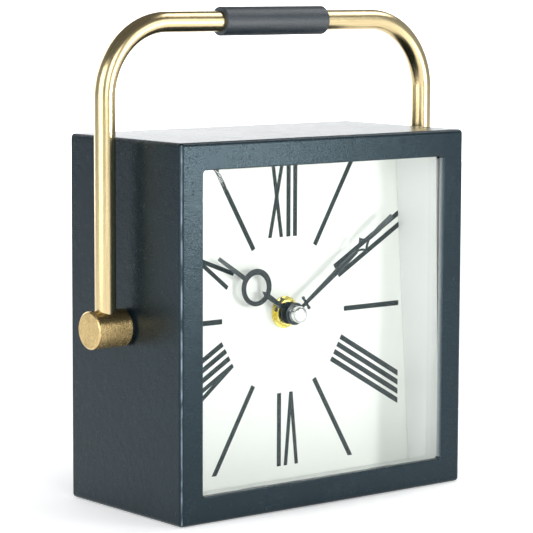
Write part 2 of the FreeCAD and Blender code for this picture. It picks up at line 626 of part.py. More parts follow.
def pivot_studs():
    stud = rod_x(PIVOT_RADIUS, *stud_span())
    return grouped([mirrored(stud), stud])


def spring_washers():
    outer = INNER_HALF_WIDTH - DOUBLER_SHEET - WASHER_PLAY
    washer = rod_x(SPRING_WASHER_RADIUS, outer - SPRING_WASHER, outer)
    washer = washer.cut(rod_x(PIVOT_RADIUS, outer - 5, outer + 5))
    return grouped([mirrored(washer), washer])


def lock_nuts():
    outer = INNER_HALF_WIDTH - DOUBLER_SHEET - WASHER_PLAY - SPRING_WASHER
    nut = hexagon_x(LOCK_NUT_FLATS, outer - LOCK_NUT_HEIGHT, outer)
    nut = nut.cut(rod_x(PIVOT_RADIUS, outer - 20, outer + 20))
    return grouped([mirrored(nut), nut])


def pivot_knob():
    x0 = HALF_WIDTH + PIVOT_STANDOFF
    x1 = x0 + KNOB_LENGTH
    knob = rod_x(KNOB_RADIUS, x0, x1)
    knob = knob.makeChamfer(KNOB_CHAMFER, edges_in_plane(knob, "X", x0) + edges_in_plane(knob, "X", x1))
    leg = HALF_WIDTH + TUBE_CENTRE_OUT
    socket_floor = AXIS_HEIGHT + KNOB_RADIUS - TUBE_SOCKET
    socket = rod_z(TUBE_RADIUS, socket_floor, socket_floor + 3 * TUBE_SOCKET, leg)
    return cut_all(knob, [rod_x(PIVOT_RADIUS, x0 - 1, stud_span()[1]), socket])


def handle_path():
    leg = HALF_WIDTH + TUBE_CENTRE_OUT
    foot = AXIS_HEIGHT + KNOB_RADIUS - TUBE_SOCKET
    top = AXIS_HEIGHT + HANDLE_RISE
    bend = HANDLE_BEND
    shoulder = bend * (1 - math.cos(math.radians(45)))
    edges = [Part.LineSegment(Vector(-leg, 0, foot), Vector(-leg, 0, top - bend)),
             Part.Arc(Vector(-leg, 0, top - bend), Vector(-leg + shoulder, 0, top - shoulder),
                      Vector(-leg + bend, 0, top)),
             Part.LineSegment(Vector(-leg + bend, 0, top), Vector(leg - bend, 0, top)),
             Part.Arc(Vector(leg - bend, 0, top), Vector(leg - shoulder, 0, top - shoulder),
                      Vector(leg, 0, top - bend)),
             Part.LineSegment(Vector(leg, 0, top - bend), Vector(leg, 0, foot))]
    return Part.Wire([edge.toShape() for edge in edges])


def swept_rod(radius):
    path = handle_path()
    leg = HALF_WIDTH + TUBE_CENTRE_OUT
    foot = AXIS_HEIGHT + KNOB_RADIUS - TUBE_SOCKET
    circle = Part.Wire([Part.Circle(Vector(-leg, 0, foot), Vector(0, 0, 1), radius).toShape()])
    return path.makePipeShell([circle], True, False)


def handle_tube():
    return swept_rod(TUBE_RADIUS).cut(swept_rod(TUBE_RADIUS - TUBE_WALL))


def grip_sleeve():
    top = AXIS_HEIGHT + HANDLE_RISE
    half = GRIP_LENGTH / 2
    sleeve = rod_x(GRIP_RADIUS, -half, half, 0, top)
    sleeve = sleeve.makeFillet(GRIP_EDGE, edges_in_plane(sleeve, "X", -half)
                               + edges_in_plane(sleeve, "X", half))
    return sleeve.cut(rod_x(TUBE_RADIUS, -half - 1, half + 1, 0, top))


# ---------------------------------------------------------------- gears
def gear_points(teeth, module, phase):
    """Outline of a spur gear about (0, 0); phase is the angle of one tooth's middle."""
    pitch = teeth * module / 2
    base = pitch * math.cos(math.radians(20))
    tip, root = pitch + 0.75 * module, pitch - 1.15 * module

    def involute(radius):
        angle = math.acos(min(1.0, base / radius))
        return math.tan(angle) - angle

    half = math.pi / (2 * teeth) - TOOTH_PLAY / (2 * pitch)
    radii = [root, pitch, tip]
    halves = [half + involute(pitch) - involute(max(r, base)) for r in radii]
    points = []
    for i in range(teeth):
        middle = phase + 2 * math.pi * i / teeth
        flank = list(zip(radii, halves))
        points += [(r * math.cos(middle - h), r * math.sin(middle - h)) for r, h in flank]
        points += [(r * math.cos(middle + h), r * math.sin(middle + h)) for r, h in reversed(flank)]
    return points


def gear(teeth, module, y0, place, phase, bore=0.0, thickness=WHEEL_SHEET):
    x, z = place
    body = sheet_y([(x + u, z + v) for u, v in gear_points(teeth, module, phase)], y0, y0 + thickness)
    return body.cut(rod_y(bore, y0 - 1, y0 + thickness + 1, x, z)) if bore else body


def partner_phase(phase, teeth, partner_teeth, angle):
    """Phase of a gear that meshes with one of known phase, seen from it at the given angle."""
    return angle + math.pi - (phase - angle) * teeth / partner_teeth - math.pi / partner_teeth


def stepped(place, distance, degrees):
    turn = math.radians(degrees)
    return place[0] + distance * math.cos(turn), place[1] + distance * math.sin(turn)


def spacing(teeth, pinion, module):
    return (teeth + pinion) * module / 2 + CENTRE_PLAY


CENTRE = (0.0, SHAFT_HEIGHT)
MOTION_DIRECTION, KNOB_DIRECTION = 45.0, -30.0
THIRD_DIRECTION, SECONDS_DIRECTION, STEP_DIRECTION, ROTOR_DIRECTION = 150.0, 90.0, 20.0, 0.0
MOTION_PLACE = stepped(CENTRE, spacing(MOTION_TEETH, MOTION_PINION, MOTION_MODULE), MOTION_DIRECTION)
KNOB_PLACE = stepped(MOTION_PLACE, spacing(MOTION_TEETH, MOTION_PINION, MOTION_MODULE), KNOB_DIRECTION)
THIRD_PLACE = stepped(CENTRE, spacing(CENTRE_TEETH, TRAIN_PINION, CENTRE_MODULE), THIRD_DIRECTION)
SECONDS_PLACE = stepped(THIRD_PLACE, spacing(THIRD_TEETH, TRAIN_PINION, THIRD_MODULE),
                        SECONDS_DIRECTION)
STEP_PLACE = stepped(SECONDS_PLACE, spacing(SECONDS_TEETH, TRAIN_PINION, SECONDS_MODULE),
                     STEP_DIRECTION)
ROTOR_PLACE = stepped(STEP_PLACE, spacing(STEP_TEETH, TRAIN_PINION, STEP_MODULE), ROTOR_DIRECTION)


def train_arbor(place):
    """A thin arbor from the train plate to the cover, its ends in their holes."""
    return rod_y(ARBOR_RADIUS, PLATE_FRONT + 0.1, COVER_INSIDE + HOUSING_WALL / 2, *place)


def wheel_and_pinion(teeth, module, level, pinion_module, pinion_level, place, phase, pinion_phase):
    wheel = gear(teeth, module, level, place, phase)
    pinion = gear(TRAIN_PINION, pinion_module, pinion_level - 0.1, place, pinion_phase,
                  thickness=WHEEL_SHEET + 0.2)
    hub = rod_y(TRAIN_PINION * min(module, pinion_module) / 2 * 0.8, min(level, pinion_level),
                max(level, pinion_level), *place)
    return fuse_all([wheel, pinion, hub, train_arbor(place)])


def centre_wheel():
    """Slips on the minute arbor when the hands are set."""
    return gear(CENTRE_TEETH, CENTRE_MODULE, CENTRE_LEVEL, CENTRE, 0.0,
                bore=MINUTE_ARBOR_RADIUS + RUNNING_GAP)


def third_wheel():
    angle = math.radians(THIRD_DIRECTION)
    pinion_phase = partner_phase(0.0, CENTRE_TEETH, TRAIN_PINION, angle)
    return wheel_and_pinion(THIRD_TEETH, THIRD_MODULE, THIRD_LEVEL, CENTRE_MODULE, CENTRE_LEVEL,
                            THIRD_PLACE, 0.0, pinion_phase)


def seconds_wheel():
    angle = math.radians(SECONDS_DIRECTION)
    pinion_phase = partner_phase(0.0, THIRD_TEETH, TRAIN_PINION, angle)
    return wheel_and_pinion(SECONDS_TEETH, SECONDS_MODULE, SECONDS_LEVEL, THIRD_MODULE, THIRD_LEVEL,
                            SECONDS_PLACE, 0.0, pinion_phase)


def step_wheel():
    angle = math.radians(STEP_DIRECTION)
    pinion_phase = partner_phase(0.0, SECONDS_TEETH, TRAIN_PINION, angle)
    return wheel_and_pinion(STEP_TEETH, STEP_MODULE, STEP_LEVEL, SECONDS_MODULE, SECONDS_LEVEL,
                            STEP_PLACE, 0.0, pinion_phase)


def rotor():
    angle = math.radians(ROTOR_DIRECTION)
    phase = partner_phase(0.0, STEP_TEETH, TRAIN_PINION, angle)
    pinion = gear(TRAIN_PINION, STEP_MODULE, STEP_LEVEL - 0.1, ROTOR_PLACE, phase,
                  thickness=WHEEL_SHEET + 0.2)
    magnet = rod_y(ROTOR_MAGNET_RADIUS, MAGNET_LEVEL, MAGNET_LEVEL + MAGNET_WIDTH, *ROTOR_PLACE)
    return fuse_all([pinion, magnet, train_arbor(ROTOR_PLACE)])


def minute_arbor():
    """Carries the minute hand in front and the pinion of the motion work behind."""
    tip = MINUTE_HAND_BACK - HAND_SHEET - CAP_RIM
    shaft = rod_y(MINUTE_ARBOR_RADIUS, tip, CENTRE_LEVEL + WHEEL_SHEET + 0.3)
    pinion = gear(MOTION_PINION, MOTION_MODULE, MOTION_LEVEL - 0.1, CENTRE, 0.0,
                  thickness=WHEEL_SHEET + 0.2)
    pivot = rod_y(REAR_PIVOT_RADIUS, CENTRE_LEVEL, COVER_INSIDE + HOUSING_WALL / 2)
    return fuse_all([shaft, pinion, pivot])


def minute_wheel():
    angle = math.radians(MOTION_DIRECTION)
    phase = partner_phase(0.0, MOTION_PINION, MOTION_TEETH, angle)
    wheel = gear(MOTION_TEETH, MOTION_MODULE, MOTION_LEVEL, MOTION_PLACE, phase)
    pinion = gear(HOUR_PINION, HOUR_MODULE, HOUR_LEVEL - 0.05, MOTION_PLACE, 0.0,
                  thickness=MOTION_LEVEL - HOUR_LEVEL + 0.05)
    arbor = rod_y(ARBOR_RADIUS + 0.2, HOUSING_FLOOR - HOUSING_WALL / 2, PLATE_BACK - 0.2, *MOTION_PLACE)
    return fuse_all([wheel, pinion, arbor])


def hour_wheel():
    angle = math.radians(MOTION_DIRECTION) + math.pi
    phase = partner_phase(0.0, HOUR_PINION, HOUR_TEETH, angle)
    wheel = gear(HOUR_TEETH, HOUR_MODULE, HOUR_LEVEL, CENTRE, phase)
    pipe = rod_y(HOUR_TUBE_RADIUS, HOUR_HAND_BACK - HAND_SHEET - 0.3, HOUR_LEVEL)
    bore = rod_y(MINUTE_ARBOR_RADIUS + RUNNING_GAP, HOUR_HAND_BACK - 5, HOUR_LEVEL + 5)
    return fuse_all([wheel, pipe]).cut(bore)


def setting_arbor():
    angle = math.radians(KNOB_DIRECTION)
    wheel_phase = partner_phase(0.0, MOTION_PINION, MOTION_TEETH, math.radians(MOTION_DIRECTION))
    phase = partner_phase(wheel_phase, MOTION_TEETH, MOTION_PINION, angle)
    pinion = gear(MOTION_PINION, MOTION_MODULE, MOTION_LEVEL - 0.1, KNOB_PLACE, phase,
                  thickness=WHEEL_SHEET + 0.2)
    shaft = rod_y(KNOB_ARBOR_RADIUS, HOUSING_FLOOR - HOUSING_WALL / 2,
                  HOUSING_BACK + SEAT_GAP + SETTING_KNOB_HEIGHT / 2, *KNOB_PLACE)
    return fuse_all([pinion, shaft])


def setting_knob():
    y0 = HOUSING_BACK + SEAT_GAP
    y1 = y0 + SETTING_KNOB_HEIGHT
    x, z = KNOB_PLACE
    knob = rod_y(SETTING_KNOB_RADIUS, y0, y1, x, z)
    grooves = []
    for i in range(SETTING_KNOB_GROOVES):
        turn = 2 * math.pi * i / SETTING_KNOB_GROOVES
        rim_x = x + SETTING_KNOB_RADIUS * math.cos(turn)
        rim_z = z + SETTING_KNOB_RADIUS * math.sin(turn)
        grooves.append(rod_y(SETTING_KNOB_GROOVE_RADIUS, y0 - 1, y1 + 1, rim_x, rim_z))
    socket = rod_y(KNOB_ARBOR_RADIUS, y0 - 1, y0 + SETTING_KNOB_HEIGHT / 2, x, z)
    return cut_all(knob, grooves + [socket])


# ---------------------------------------------------------------- movement housing and motor
def movement_housing():
    shell = block(-HALF_MOVEMENT, HALF_MOVEMENT, HOUSING_FRONT, COVER_INSIDE, HOUSING_BOTTOM, HOUSING_TOP)
    inner = HALF_MOVEMENT - HOUSING_WALL
    train = block(-inner, inner, HOUSING_FLOOR, HOUSING_BACK, TRAIN_BOTTOM, HOUSING_TOP - HOUSING_WALL)
    bay = block(-inner, inner, HOUSING_FLOOR, HOUSING_BACK, HOUSING_BOTTOM + HOUSING_WALL, BAY_TOP)
    body = cut_all(shell, [train, bay, rod_y(BUSHING_RADIUS, HOUSING_FRONT - 1, HOUSING_FLOOR + 1)])
    posts = [rod_y(POST_RADIUS, HOUSING_FLOOR, PLATE_FRONT, x, z) for x, z in post_places()]
    y0, y1 = HOUSING_FLOOR - ARBOR_SOCKET_DEPTH, HOUSING_FLOOR + 1
    sockets = [rod_y(ARBOR_RADIUS + 0.2 + RUNNING_GAP, y0, y1, *MOTION_PLACE),
               rod_y(KNOB_ARBOR_RADIUS + RUNNING_GAP, y0, y1, *KNOB_PLACE)]
    return cut_all(fuse_all([body] + posts), sockets)


def post_places():
    x = HALF_MOVEMENT - HOUSING_WALL - POST_INSET
    heights = (TRAIN_BOTTOM + POST_INSET, HOUSING_TOP - HOUSING_WALL - POST_INSET)
    return [(sx * x, z) for sx in (-1, 1) for z in heights]


def train_arbor_places():
    return [THIRD_PLACE, SECONDS_PLACE, STEP_PLACE, ROTOR_PLACE]


def train_plate():
    inner = HALF_MOVEMENT - HOUSING_WALL
    plate = block(-inner, inner, PLATE_FRONT, PLATE_BACK, TRAIN_BOTTOM, HOUSING_TOP - HOUSING_WALL)
    y0, y1 = PLATE_FRONT - 1, PLATE_BACK + 1
    holes = [rod_y(MINUTE_ARBOR_RADIUS + RUNNING_GAP, y0, y1)]
    holes += [rod_y(ARBOR_RADIUS + RUNNING_GAP, y0, y1, *place) for place in train_arbor_places()]
    holes += [rod_y(ARBOR_RADIUS + 0.2 + RUNNING_GAP, y0, y1, *MOTION_PLACE),
              rod_y(KNOB_ARBOR_RADIUS + RUNNING_GAP, y0, y1, *KNOB_PLACE)]
    return cut_all(plate, holes)


def movement_cover():
    """The rear lid over the wheels; the battery bay below it stays open."""
    lid = block(-HALF_MOVEMENT, HALF_MOVEMENT, COVER_INSIDE, HOUSING_BACK, BAY_TOP, HOUSING_TOP)
    rear = HOUSING_WALL / 2 + 0.2
    holes = [rod_y(ARBOR_RADIUS + RUNNING_GAP, COVER_INSIDE - 1, COVER_INSIDE + rear, *place)
             for place in train_arbor_places()]
    holes.append(rod_y(REAR_PIVOT_RADIUS + RUNNING_GAP, COVER_INSIDE - 1, COVER_INSIDE + rear))
    holes.append(rod_y(KNOB_ARBOR_RADIUS + RUNNING_GAP, COVER_INSIDE - 1, HOUSING_BACK + 1,
                       *KNOB_PLACE))
    return cut_all(lid, holes)


def stator():
    half, leg = STATOR_HALF_WIDTH, STATOR_LEG
    y0, y1 = STATOR_LEVEL, STATOR_LEVEL + STATOR_SHEET
    low, high = ROTOR_PLACE[1] - STATOR_HALF_HEIGHT, ROTOR_PLACE[1] + STATOR_HALF_HEIGHT
    top = COIL_HEIGHT + CORE_HALF_HEIGHT
    body = fuse_all([block(-half, half, y0, y1, low, high),
                     block(-half, -half + leg, y0, y1, low, top),
                     block(half - leg, half, y0, y1, low, top)])
    holes = [rod_y(ROTOR_MAGNET_RADIUS + ROTOR_HOLE_PLAY, y0 - 1, y1 + 1, *ROTOR_PLACE)]
    holes += [rod_y(STATOR_ARBOR_HOLE, y0 - 1, y1 + 1, *place) for place in (SECONDS_PLACE, STEP_PLACE)]
    return cut_all(body, holes)


def core_block(half_length):
    return block(-half_length, half_length, STATOR_LEVEL, STATOR_LEVEL + STATOR_SHEET,
                 COIL_HEIGHT - CORE_HALF_HEIGHT, COIL_HEIGHT + CORE_HALF_HEIGHT)


def coil_core():
    return core_block(STATOR_HALF_WIDTH - STATOR_LEG)


def coil():
    """Winding between two cheeks, wound round the core."""
    y, end = STATOR_LEVEL + STATOR_SHEET / 2, COIL_HALF_LENGTH
    inner = end - COIL_CHEEK
    solids = [rod_x(COIL_RADIUS, -inner, inner, y, COIL_HEIGHT),
              rod_x(COIL_CHEEK_RADIUS, -end, -inner, y, COIL_HEIGHT),
              rod_x(COIL_CHEEK_RADIUS, inner, end, y, COIL_HEIGHT)]
    return fuse_all(solids).cut(core_block(STATOR_HALF_WIDTH))


BOARD_LEFT, BOARD_RIGHT = 10.0, HALF_MOVEMENT - HOUSING_WALL
BOARD_LOW, BOARD_HIGH = TRAIN_BOTTOM, TRAIN_BOTTOM + 17.0
BOARD_SHEET = 0.8
BOARD_FRONT = COVER_INSIDE - BOARD_SHEET
BOARD_HOLE = 2.0
CHIP_RADIUS, CHIP_HEIGHT, CHIP_EDGE = 2.4, 1.2, 0.8
CHIP_PLACE = (BOARD_LEFT + 4.0, BOARD_LOW + 3.0)
CRYSTAL_RADIUS, CRYSTAL_X = 1.0, BOARD_RIGHT - 3.0
CRYSTAL_LOW, CRYSTAL_HIGH = BOARD_LOW + 1.0, BOARD_LOW + 7.0
CAPACITOR_X, CAPACITOR_SIZE, CAPACITOR_HEIGHT = CHIP_PLACE[0] + 4.0, 2.0, 1.0


def circuit_board():
    board = block(BOARD_LEFT, BOARD_RIGHT, BOARD_FRONT, COVER_INSIDE, BOARD_LOW, BOARD_HIGH)
    return board.cut(rod_y(BOARD_HOLE, BOARD_FRONT - 1, COVER_INSIDE + 1, *KNOB_PLACE))


def board_components():
    """The chip under its blob, the crystal on its pad, and a capacitor."""
    chip = rod_y(CHIP_RADIUS, BOARD_FRONT - CHIP_HEIGHT, BOARD_FRONT, *CHIP_PLACE)
    chip = chip.makeFillet(CHIP_EDGE, edges_in_plane(chip, "Y", BOARD_FRONT - CHIP_HEIGHT))
    crystal = rod_z(CRYSTAL_RADIUS, CRYSTAL_LOW, CRYSTAL_HIGH, CRYSTAL_X, BOARD_FRONT - CRYSTAL_RADIUS)
    pad = block(CRYSTAL_X - CRYSTAL_RADIUS / 2, CRYSTAL_X + CRYSTAL_RADIUS / 2,
                BOARD_FRONT - CRYSTAL_RADIUS, BOARD_FRONT, CRYSTAL_LOW, CRYSTAL_HIGH)
    half = CAPACITOR_SIZE / 2
    capacitor = block(CAPACITOR_X, CAPACITOR_X + CAPACITOR_SIZE, BOARD_FRONT - CAPACITOR_HEIGHT,
                      BOARD_FRONT, CHIP_PLACE[1] - half, CHIP_PLACE[1] + half)
    return grouped([chip, fuse_all([crystal, pad]), capacitor])


def threaded_bushing():
    y0 = DIAL_FACE - BUSHING_PROUD
    return tube_y(BUSHING_RADIUS, HOUR_TUBE_RADIUS + RUNNING_GAP, y0, HOUSING_FLOOR)


def rubber_washer():
    return tube_y(RUBBER_RADIUS, BUSHING_RADIUS, DIAL_BACK, HOUSING_FRONT)


def brass_washer():
    return tube_y(BRASS_WASHER_RADIUS, BUSHING_RADIUS, DIAL_FACE - BRASS_WASHER_THICKNESS, DIAL_FACE)


def hex_nut():
    y1 = DIAL_FACE - BRASS_WASHER_THICKNESS
    nut = hexagon_y(HEX_NUT_FLATS, y1 - HEX_NUT_HEIGHT, y1)
    return nut.cut(rod_y(BUSHING_RADIUS, y1 - HEX_NUT_HEIGHT - 1, y1 + 1))


# ---------------------------------------------------------------- battery and contacts
def battery():
    half = BATTERY_LENGTH / 2
    can = rod_x(BATTERY_RADIUS, -half, half - BATTERY_NUB, BATTERY_Y, BATTERY_Z)
    can = can.makeFillet(0.6, edges_in_plane(can, "X", -half)
                         + edges_in_plane(can, "X", half - BATTERY_NUB))
    nub = rod_x(BATTERY_NUB_RADIUS, half - BATTERY_NUB - 0.1, half, BATTERY_Y, BATTERY_Z)
    return fuse_all([can, nub])


def contact(side):
    """A bent strip between the battery's end and the wall of the bay."""
    wall = HALF_MOVEMENT - HOUSING_WALL
    near = BATTERY_LENGTH / 2 + SEAT_GAP
    y0, y1 = BATTERY_Y - CONTACT_HALF_DEPTH, BATTERY_Y + CONTACT_HALF_DEPTH
    z0, z1 = BATTERY_Z - CONTACT_HALF_WIDTH, BATTERY_Z + CONTACT_HALF_WIDTH
    front = block(near, near + CONTACT_SHEET, y0, y1, z0, z1)
    rear = block(wall - CONTACT_SHEET, wall, y0, y1, z0, z1)
    bend = block(near, wall, y0, y0 + CONTACT_SHEET, z0, z1)
    strip = fuse_all([front, rear, bend])
    return strip if side > 0 else mirrored(strip)


# ---------------------------------------------------------------- hands
CROSS_PLACE, CROSS_HALF_LENGTH, CROSS_RADIUS, CROSS_HALF_WIDTH = 8.4, 3.1, 0.85, 0.6
HOUR_RING_CENTRE, HOUR_RING_OUTER, HOUR_RING_INNER = 25.2, 9.1, 6.5
HOUR_RING_SHIFT = (-0.3, -0.1)      # the hole's middle: sideways, outwards
SPUR_REACH = 2.4                    # point of the stem inside the ring
DIAMOND_CENTRE, DIAMOND_HALF_LENGTH, DIAMOND_HALF_WIDTH = 53.5, 7.6, 4.6
DIAMOND_HOLE_SCALE = 0.62


def turned(shape, degrees):
    """Turn a hand drawn pointing at twelve clockwise about the shaft."""
    copy = shape.copy()
    copy.rotate(Vector(0, 0, SHAFT_HEIGHT), Vector(0, 1, 0), degrees)
    return copy


def hand_sheet(points, back):
    return sheet_y([(x, SHAFT_HEIGHT + z) for x, z in points], back - HAND_SHEET, back)


def blade(half0, r0, half1, r1, back):
    """A tapering bar along the hand."""
    return hand_sheet([(-half0, r0), (half0, r0), (half1, r1), (-half1, r1)], back)


def cross_bar(back):
    """The small bar across each hand, just outside the boss, with knobbed ends."""
    front = back - HAND_SHEET
    low, high = CROSS_PLACE - CROSS_HALF_WIDTH, CROSS_PLACE + CROSS_HALF_WIDTH
    half = CROSS_HALF_LENGTH
    bar = hand_sheet([(-half, low), (half, low), (half, high), (-half, high)], back)
    ends = [rod_y(CROSS_RADIUS, front, back, side * CROSS_HALF_LENGTH, SHAFT_HEIGHT + CROSS_PLACE)
            for side in (-1, 1)]
    return [bar] + ends


def hour_hand():
    back = HOUR_HAND_BACK
    front = back - HAND_SHEET
    ring_z = SHAFT_HEIGHT + HOUR_RING_CENTRE
    hole_x, hole_rise = HOUR_RING_SHIFT
    ring = rod_y(HOUR_RING_OUTER, front, back, 0, ring_z)
    hole = rod_y(HOUR_RING_INNER, front - 1, back + 1, hole_x, ring_z + hole_rise)
    rim = HOUR_RING_CENTRE - HOUR_RING_INNER
    spur = hand_sheet([(-1.45, rim - 1), (1.45, rim - 1), (0.2, rim + SPUR_REACH)], back)
    pieces = [ring.cut(hole), spur, rod_y(BOSS_RADIUS, front, back),
              blade(1.0, 0, 1.4, rim - 0.5, back),
              blade(1.2, HOUR_RING_CENTRE + HOUR_RING_OUTER - 0.5, 0.9, HOUR_HAND_LENGTH, back)]
    collet = rod_y(HOUR_TUBE_RADIUS + COLLET_WALL, back, back + HOUR_COLLET)
    body = fuse_all(pieces + cross_bar(back) + [collet])
    return turned(body.cut(rod_y(HOUR_TUBE_RADIUS, front - 1, back + 2)), HOUR_ANGLE)


def concave_diamond(scale, y0, y1):
    """A diamond with sides that bow inwards, each side one arc."""
    z = SHAFT_HEIGHT + DIAMOND_CENTRE
    half_length, half_width = DIAMOND_HALF_LENGTH * scale, DIAMOND_HALF_WIDTH * scale
    tips = [(0, -half_length), (half_width, 0), (0, half_length), (-half_width, 0)]
    edges = []
    for (x0, z0), (x1, z1) in zip(tips, tips[1:] + tips[:1]):
        bow = ((x0 + x1) * 0.33, (z0 + z1) * 0.4)
        start, end = Vector(x0, y0, z + z0), Vector(x1, y0, z + z1)
        edges.append(Part.Arc(start, Vector(bow[0], y0, z + bow[1]), end).toShape())
    return Part.Face(Part.Wire(edges)).extrude(Vector(0, y1 - y0, 0))


def minute_hand():
    back = MINUTE_HAND_BACK
    front = back - HAND_SHEET
    near, far = DIAMOND_CENTRE - DIAMOND_HALF_LENGTH, DIAMOND_CENTRE + DIAMOND_HALF_LENGTH
    pieces = [rod_y(BOSS_RADIUS, front, back), concave_diamond(1.0, front, back),
              blade(0.7, 0, 1.6, near - 9, back), blade(1.6, near - 9, 1.0, near + 2.5, back),
              blade(0.9, far - 2.5, 1.45, far + 5, back),
              blade(1.45, far + 5, 1.2, MINUTE_HAND_LENGTH, back)]
    collet = rod_y(MINUTE_ARBOR_RADIUS + COLLET_WALL, back, back + MINUTE_COLLET)
    body = fuse_all(pieces + cross_bar(back) + [collet])
    holes = [concave_diamond(DIAMOND_HOLE_SCALE, front - 1, back + 1),
             rod_y(MINUTE_ARBOR_RADIUS, front - 1, back + 4)]
    return turned(cut_all(body, holes), MINUTE_ANGLE)


def cap_nut():
    base = MINUTE_HAND_BACK - HAND_SHEET
    rim = base - CAP_RIM
    dome_height = CAP_HEIGHT - CAP_RIM
    radius = (CAP_RADIUS ** 2 + dome_height ** 2) / (2 * dome_height)
    ball = Part.makeSphere(radius, Vector(0, rim - dome_height + radius, SHAFT_HEIGHT))
    dome = ball.common(rod_y(CAP_RADIUS, rim - dome_height - 1, rim))
    body = fuse_all([rod_y(CAP_RADIUS, rim, base), dome])
    return body.cut(rod_y(MINUTE_ARBOR_RADIUS, rim, base + 1))


# ---------------------------------------------------------------- write the parts
PARTS = {
    "case_shell": case_shell, "glass_pane": glass_pane, "glass_clips": glass_clips,
    "face_liner": face_liner, "dial_plate": dial_plate, "dial_numerals": dial_numerals,
    "dial_studs": dial_studs, "dial_brackets": dial_brackets, "dial_nuts": dial_nuts,
    "back_panel": back_panel, "back_screws": back_screws, "clinch_nuts": clinch_nuts,
    "access_door": access_door, "hinge_leaf": hinge_leaf, "hinge_pin": hinge_pin,
    "hinge_rivets": hinge_rivets, "door_pull": door_pull, "catch_magnet": catch_magnet,
    "pivot_doublers": pivot_doublers, "pivot_bushes": pivot_bushes, "pivot_studs": pivot_studs,
    "spring_washers": spring_washers, "lock_nuts": lock_nuts,
    "right_pivot_knob": pivot_knob, "left_pivot_knob": lambda: mirrored(pivot_knob()),
    "handle_tube": handle_tube, "grip_sleeve": grip_sleeve,
    "movement_housing": movement_housing, "movement_cover": movement_cover,
    "train_plate": train_plate, "threaded_bushing": threaded_bushing,
    "rubber_washer": rubber_washer, "brass_washer": brass_washer, "hex_nut": hex_nut,
    "circuit_board": circuit_board, "board_components": board_components,
    "stator": stator, "coil_core": coil_core, "coil": coil, "rotor": rotor,
    "step_wheel": step_wheel, "seconds_wheel": seconds_wheel, "third_wheel": third_wheel,
    "centre_wheel": centre_wheel, "minute_arbor": minute_arbor, "minute_wheel": minute_wheel,
    "hour_wheel": hour_wheel, "setting_arbor": setting_arbor, "setting_knob": setting_knob,
    "battery": battery, "positive_contact": lambda: contact(1),
    "negative_contact": lambda: contact(-1),
    "hour_hand": hour_hand, "minute_hand": minute_hand, "cap_nut": cap_nut,
}


def main():
    os.makedirs("parts", exist_ok=True)
    for name, make in PARTS.items():
        shape = make()
        if not shape.isValid():
            raise ValueError(name + " is not a valid shape")
        shape.exportStep("parts/" + name + ".step")


main()
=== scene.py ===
import json
import math

import bmesh
import bpy
from mathutils import Matrix, Vector


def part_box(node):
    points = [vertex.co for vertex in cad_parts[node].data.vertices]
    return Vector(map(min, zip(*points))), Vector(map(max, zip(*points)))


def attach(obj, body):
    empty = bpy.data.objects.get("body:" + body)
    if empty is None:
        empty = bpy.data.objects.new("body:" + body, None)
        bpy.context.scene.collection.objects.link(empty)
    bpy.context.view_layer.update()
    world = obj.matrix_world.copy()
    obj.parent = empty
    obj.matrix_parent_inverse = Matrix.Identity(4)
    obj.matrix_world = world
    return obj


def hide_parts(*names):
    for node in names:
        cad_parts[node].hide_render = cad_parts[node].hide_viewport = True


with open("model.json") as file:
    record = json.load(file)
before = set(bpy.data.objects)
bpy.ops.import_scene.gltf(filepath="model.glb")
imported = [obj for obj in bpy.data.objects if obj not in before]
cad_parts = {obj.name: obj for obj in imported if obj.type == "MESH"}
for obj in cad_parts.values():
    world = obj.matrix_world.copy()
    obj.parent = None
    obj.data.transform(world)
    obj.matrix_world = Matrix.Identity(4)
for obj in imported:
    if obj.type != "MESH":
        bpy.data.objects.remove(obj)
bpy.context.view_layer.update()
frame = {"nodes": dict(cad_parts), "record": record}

# The looks of a square mantel clock. +Z is up and the dial faces -Y. Lengths of its shapes are in
# millimetres until a mesh is made. Meshes, shaders, the stage, the lights and the camera's clipping
# are in metres.

# ---------------------------------------------------------------- sizes
MM = 0.001
CASE_HALF_WIDTH, CASE_HALF_HEIGHT, CASE_HALF_DEPTH = 88.0, 89.0, 44.0
MIDDLE_HEIGHT = 89.0
SHEET = 1.5
CASE_BEND = 2.0
REAR_RIM = 0.6
EASE, EASE_START = 0.3, 0.1     # softening of the hem, flange and rear rim edges
INNER_CORNER, FLANGE_CORNER = 0.5, 0.4
SEAM_TURN, SEAM_HALF_WIDTH, SEAM_DEPTH = 38.0, 0.32, 0.22
OPENING_HALF = 75.0
OPENING_CORNER = 1.75
OPENING_LIP = 0.6
HEM_BACK = -40.5
FLANGE_FRONT, FLANGE_BACK, FLANGE_WIDTH = 36.5, 38.0, 9.0
LINER_FLOOR, LINER_ROOF, LINER_RIGHT = 6.9, 170.0, (78.9, 74.7)
LIP_LOW, LIP_HIGH, LIP_OUT, LIP_DEPTHS = 60.0, 163.5, 77.7, (-38.12, -37.92)
SHAFT_HEIGHT = 90.0
DIAL_FACE = -11.0

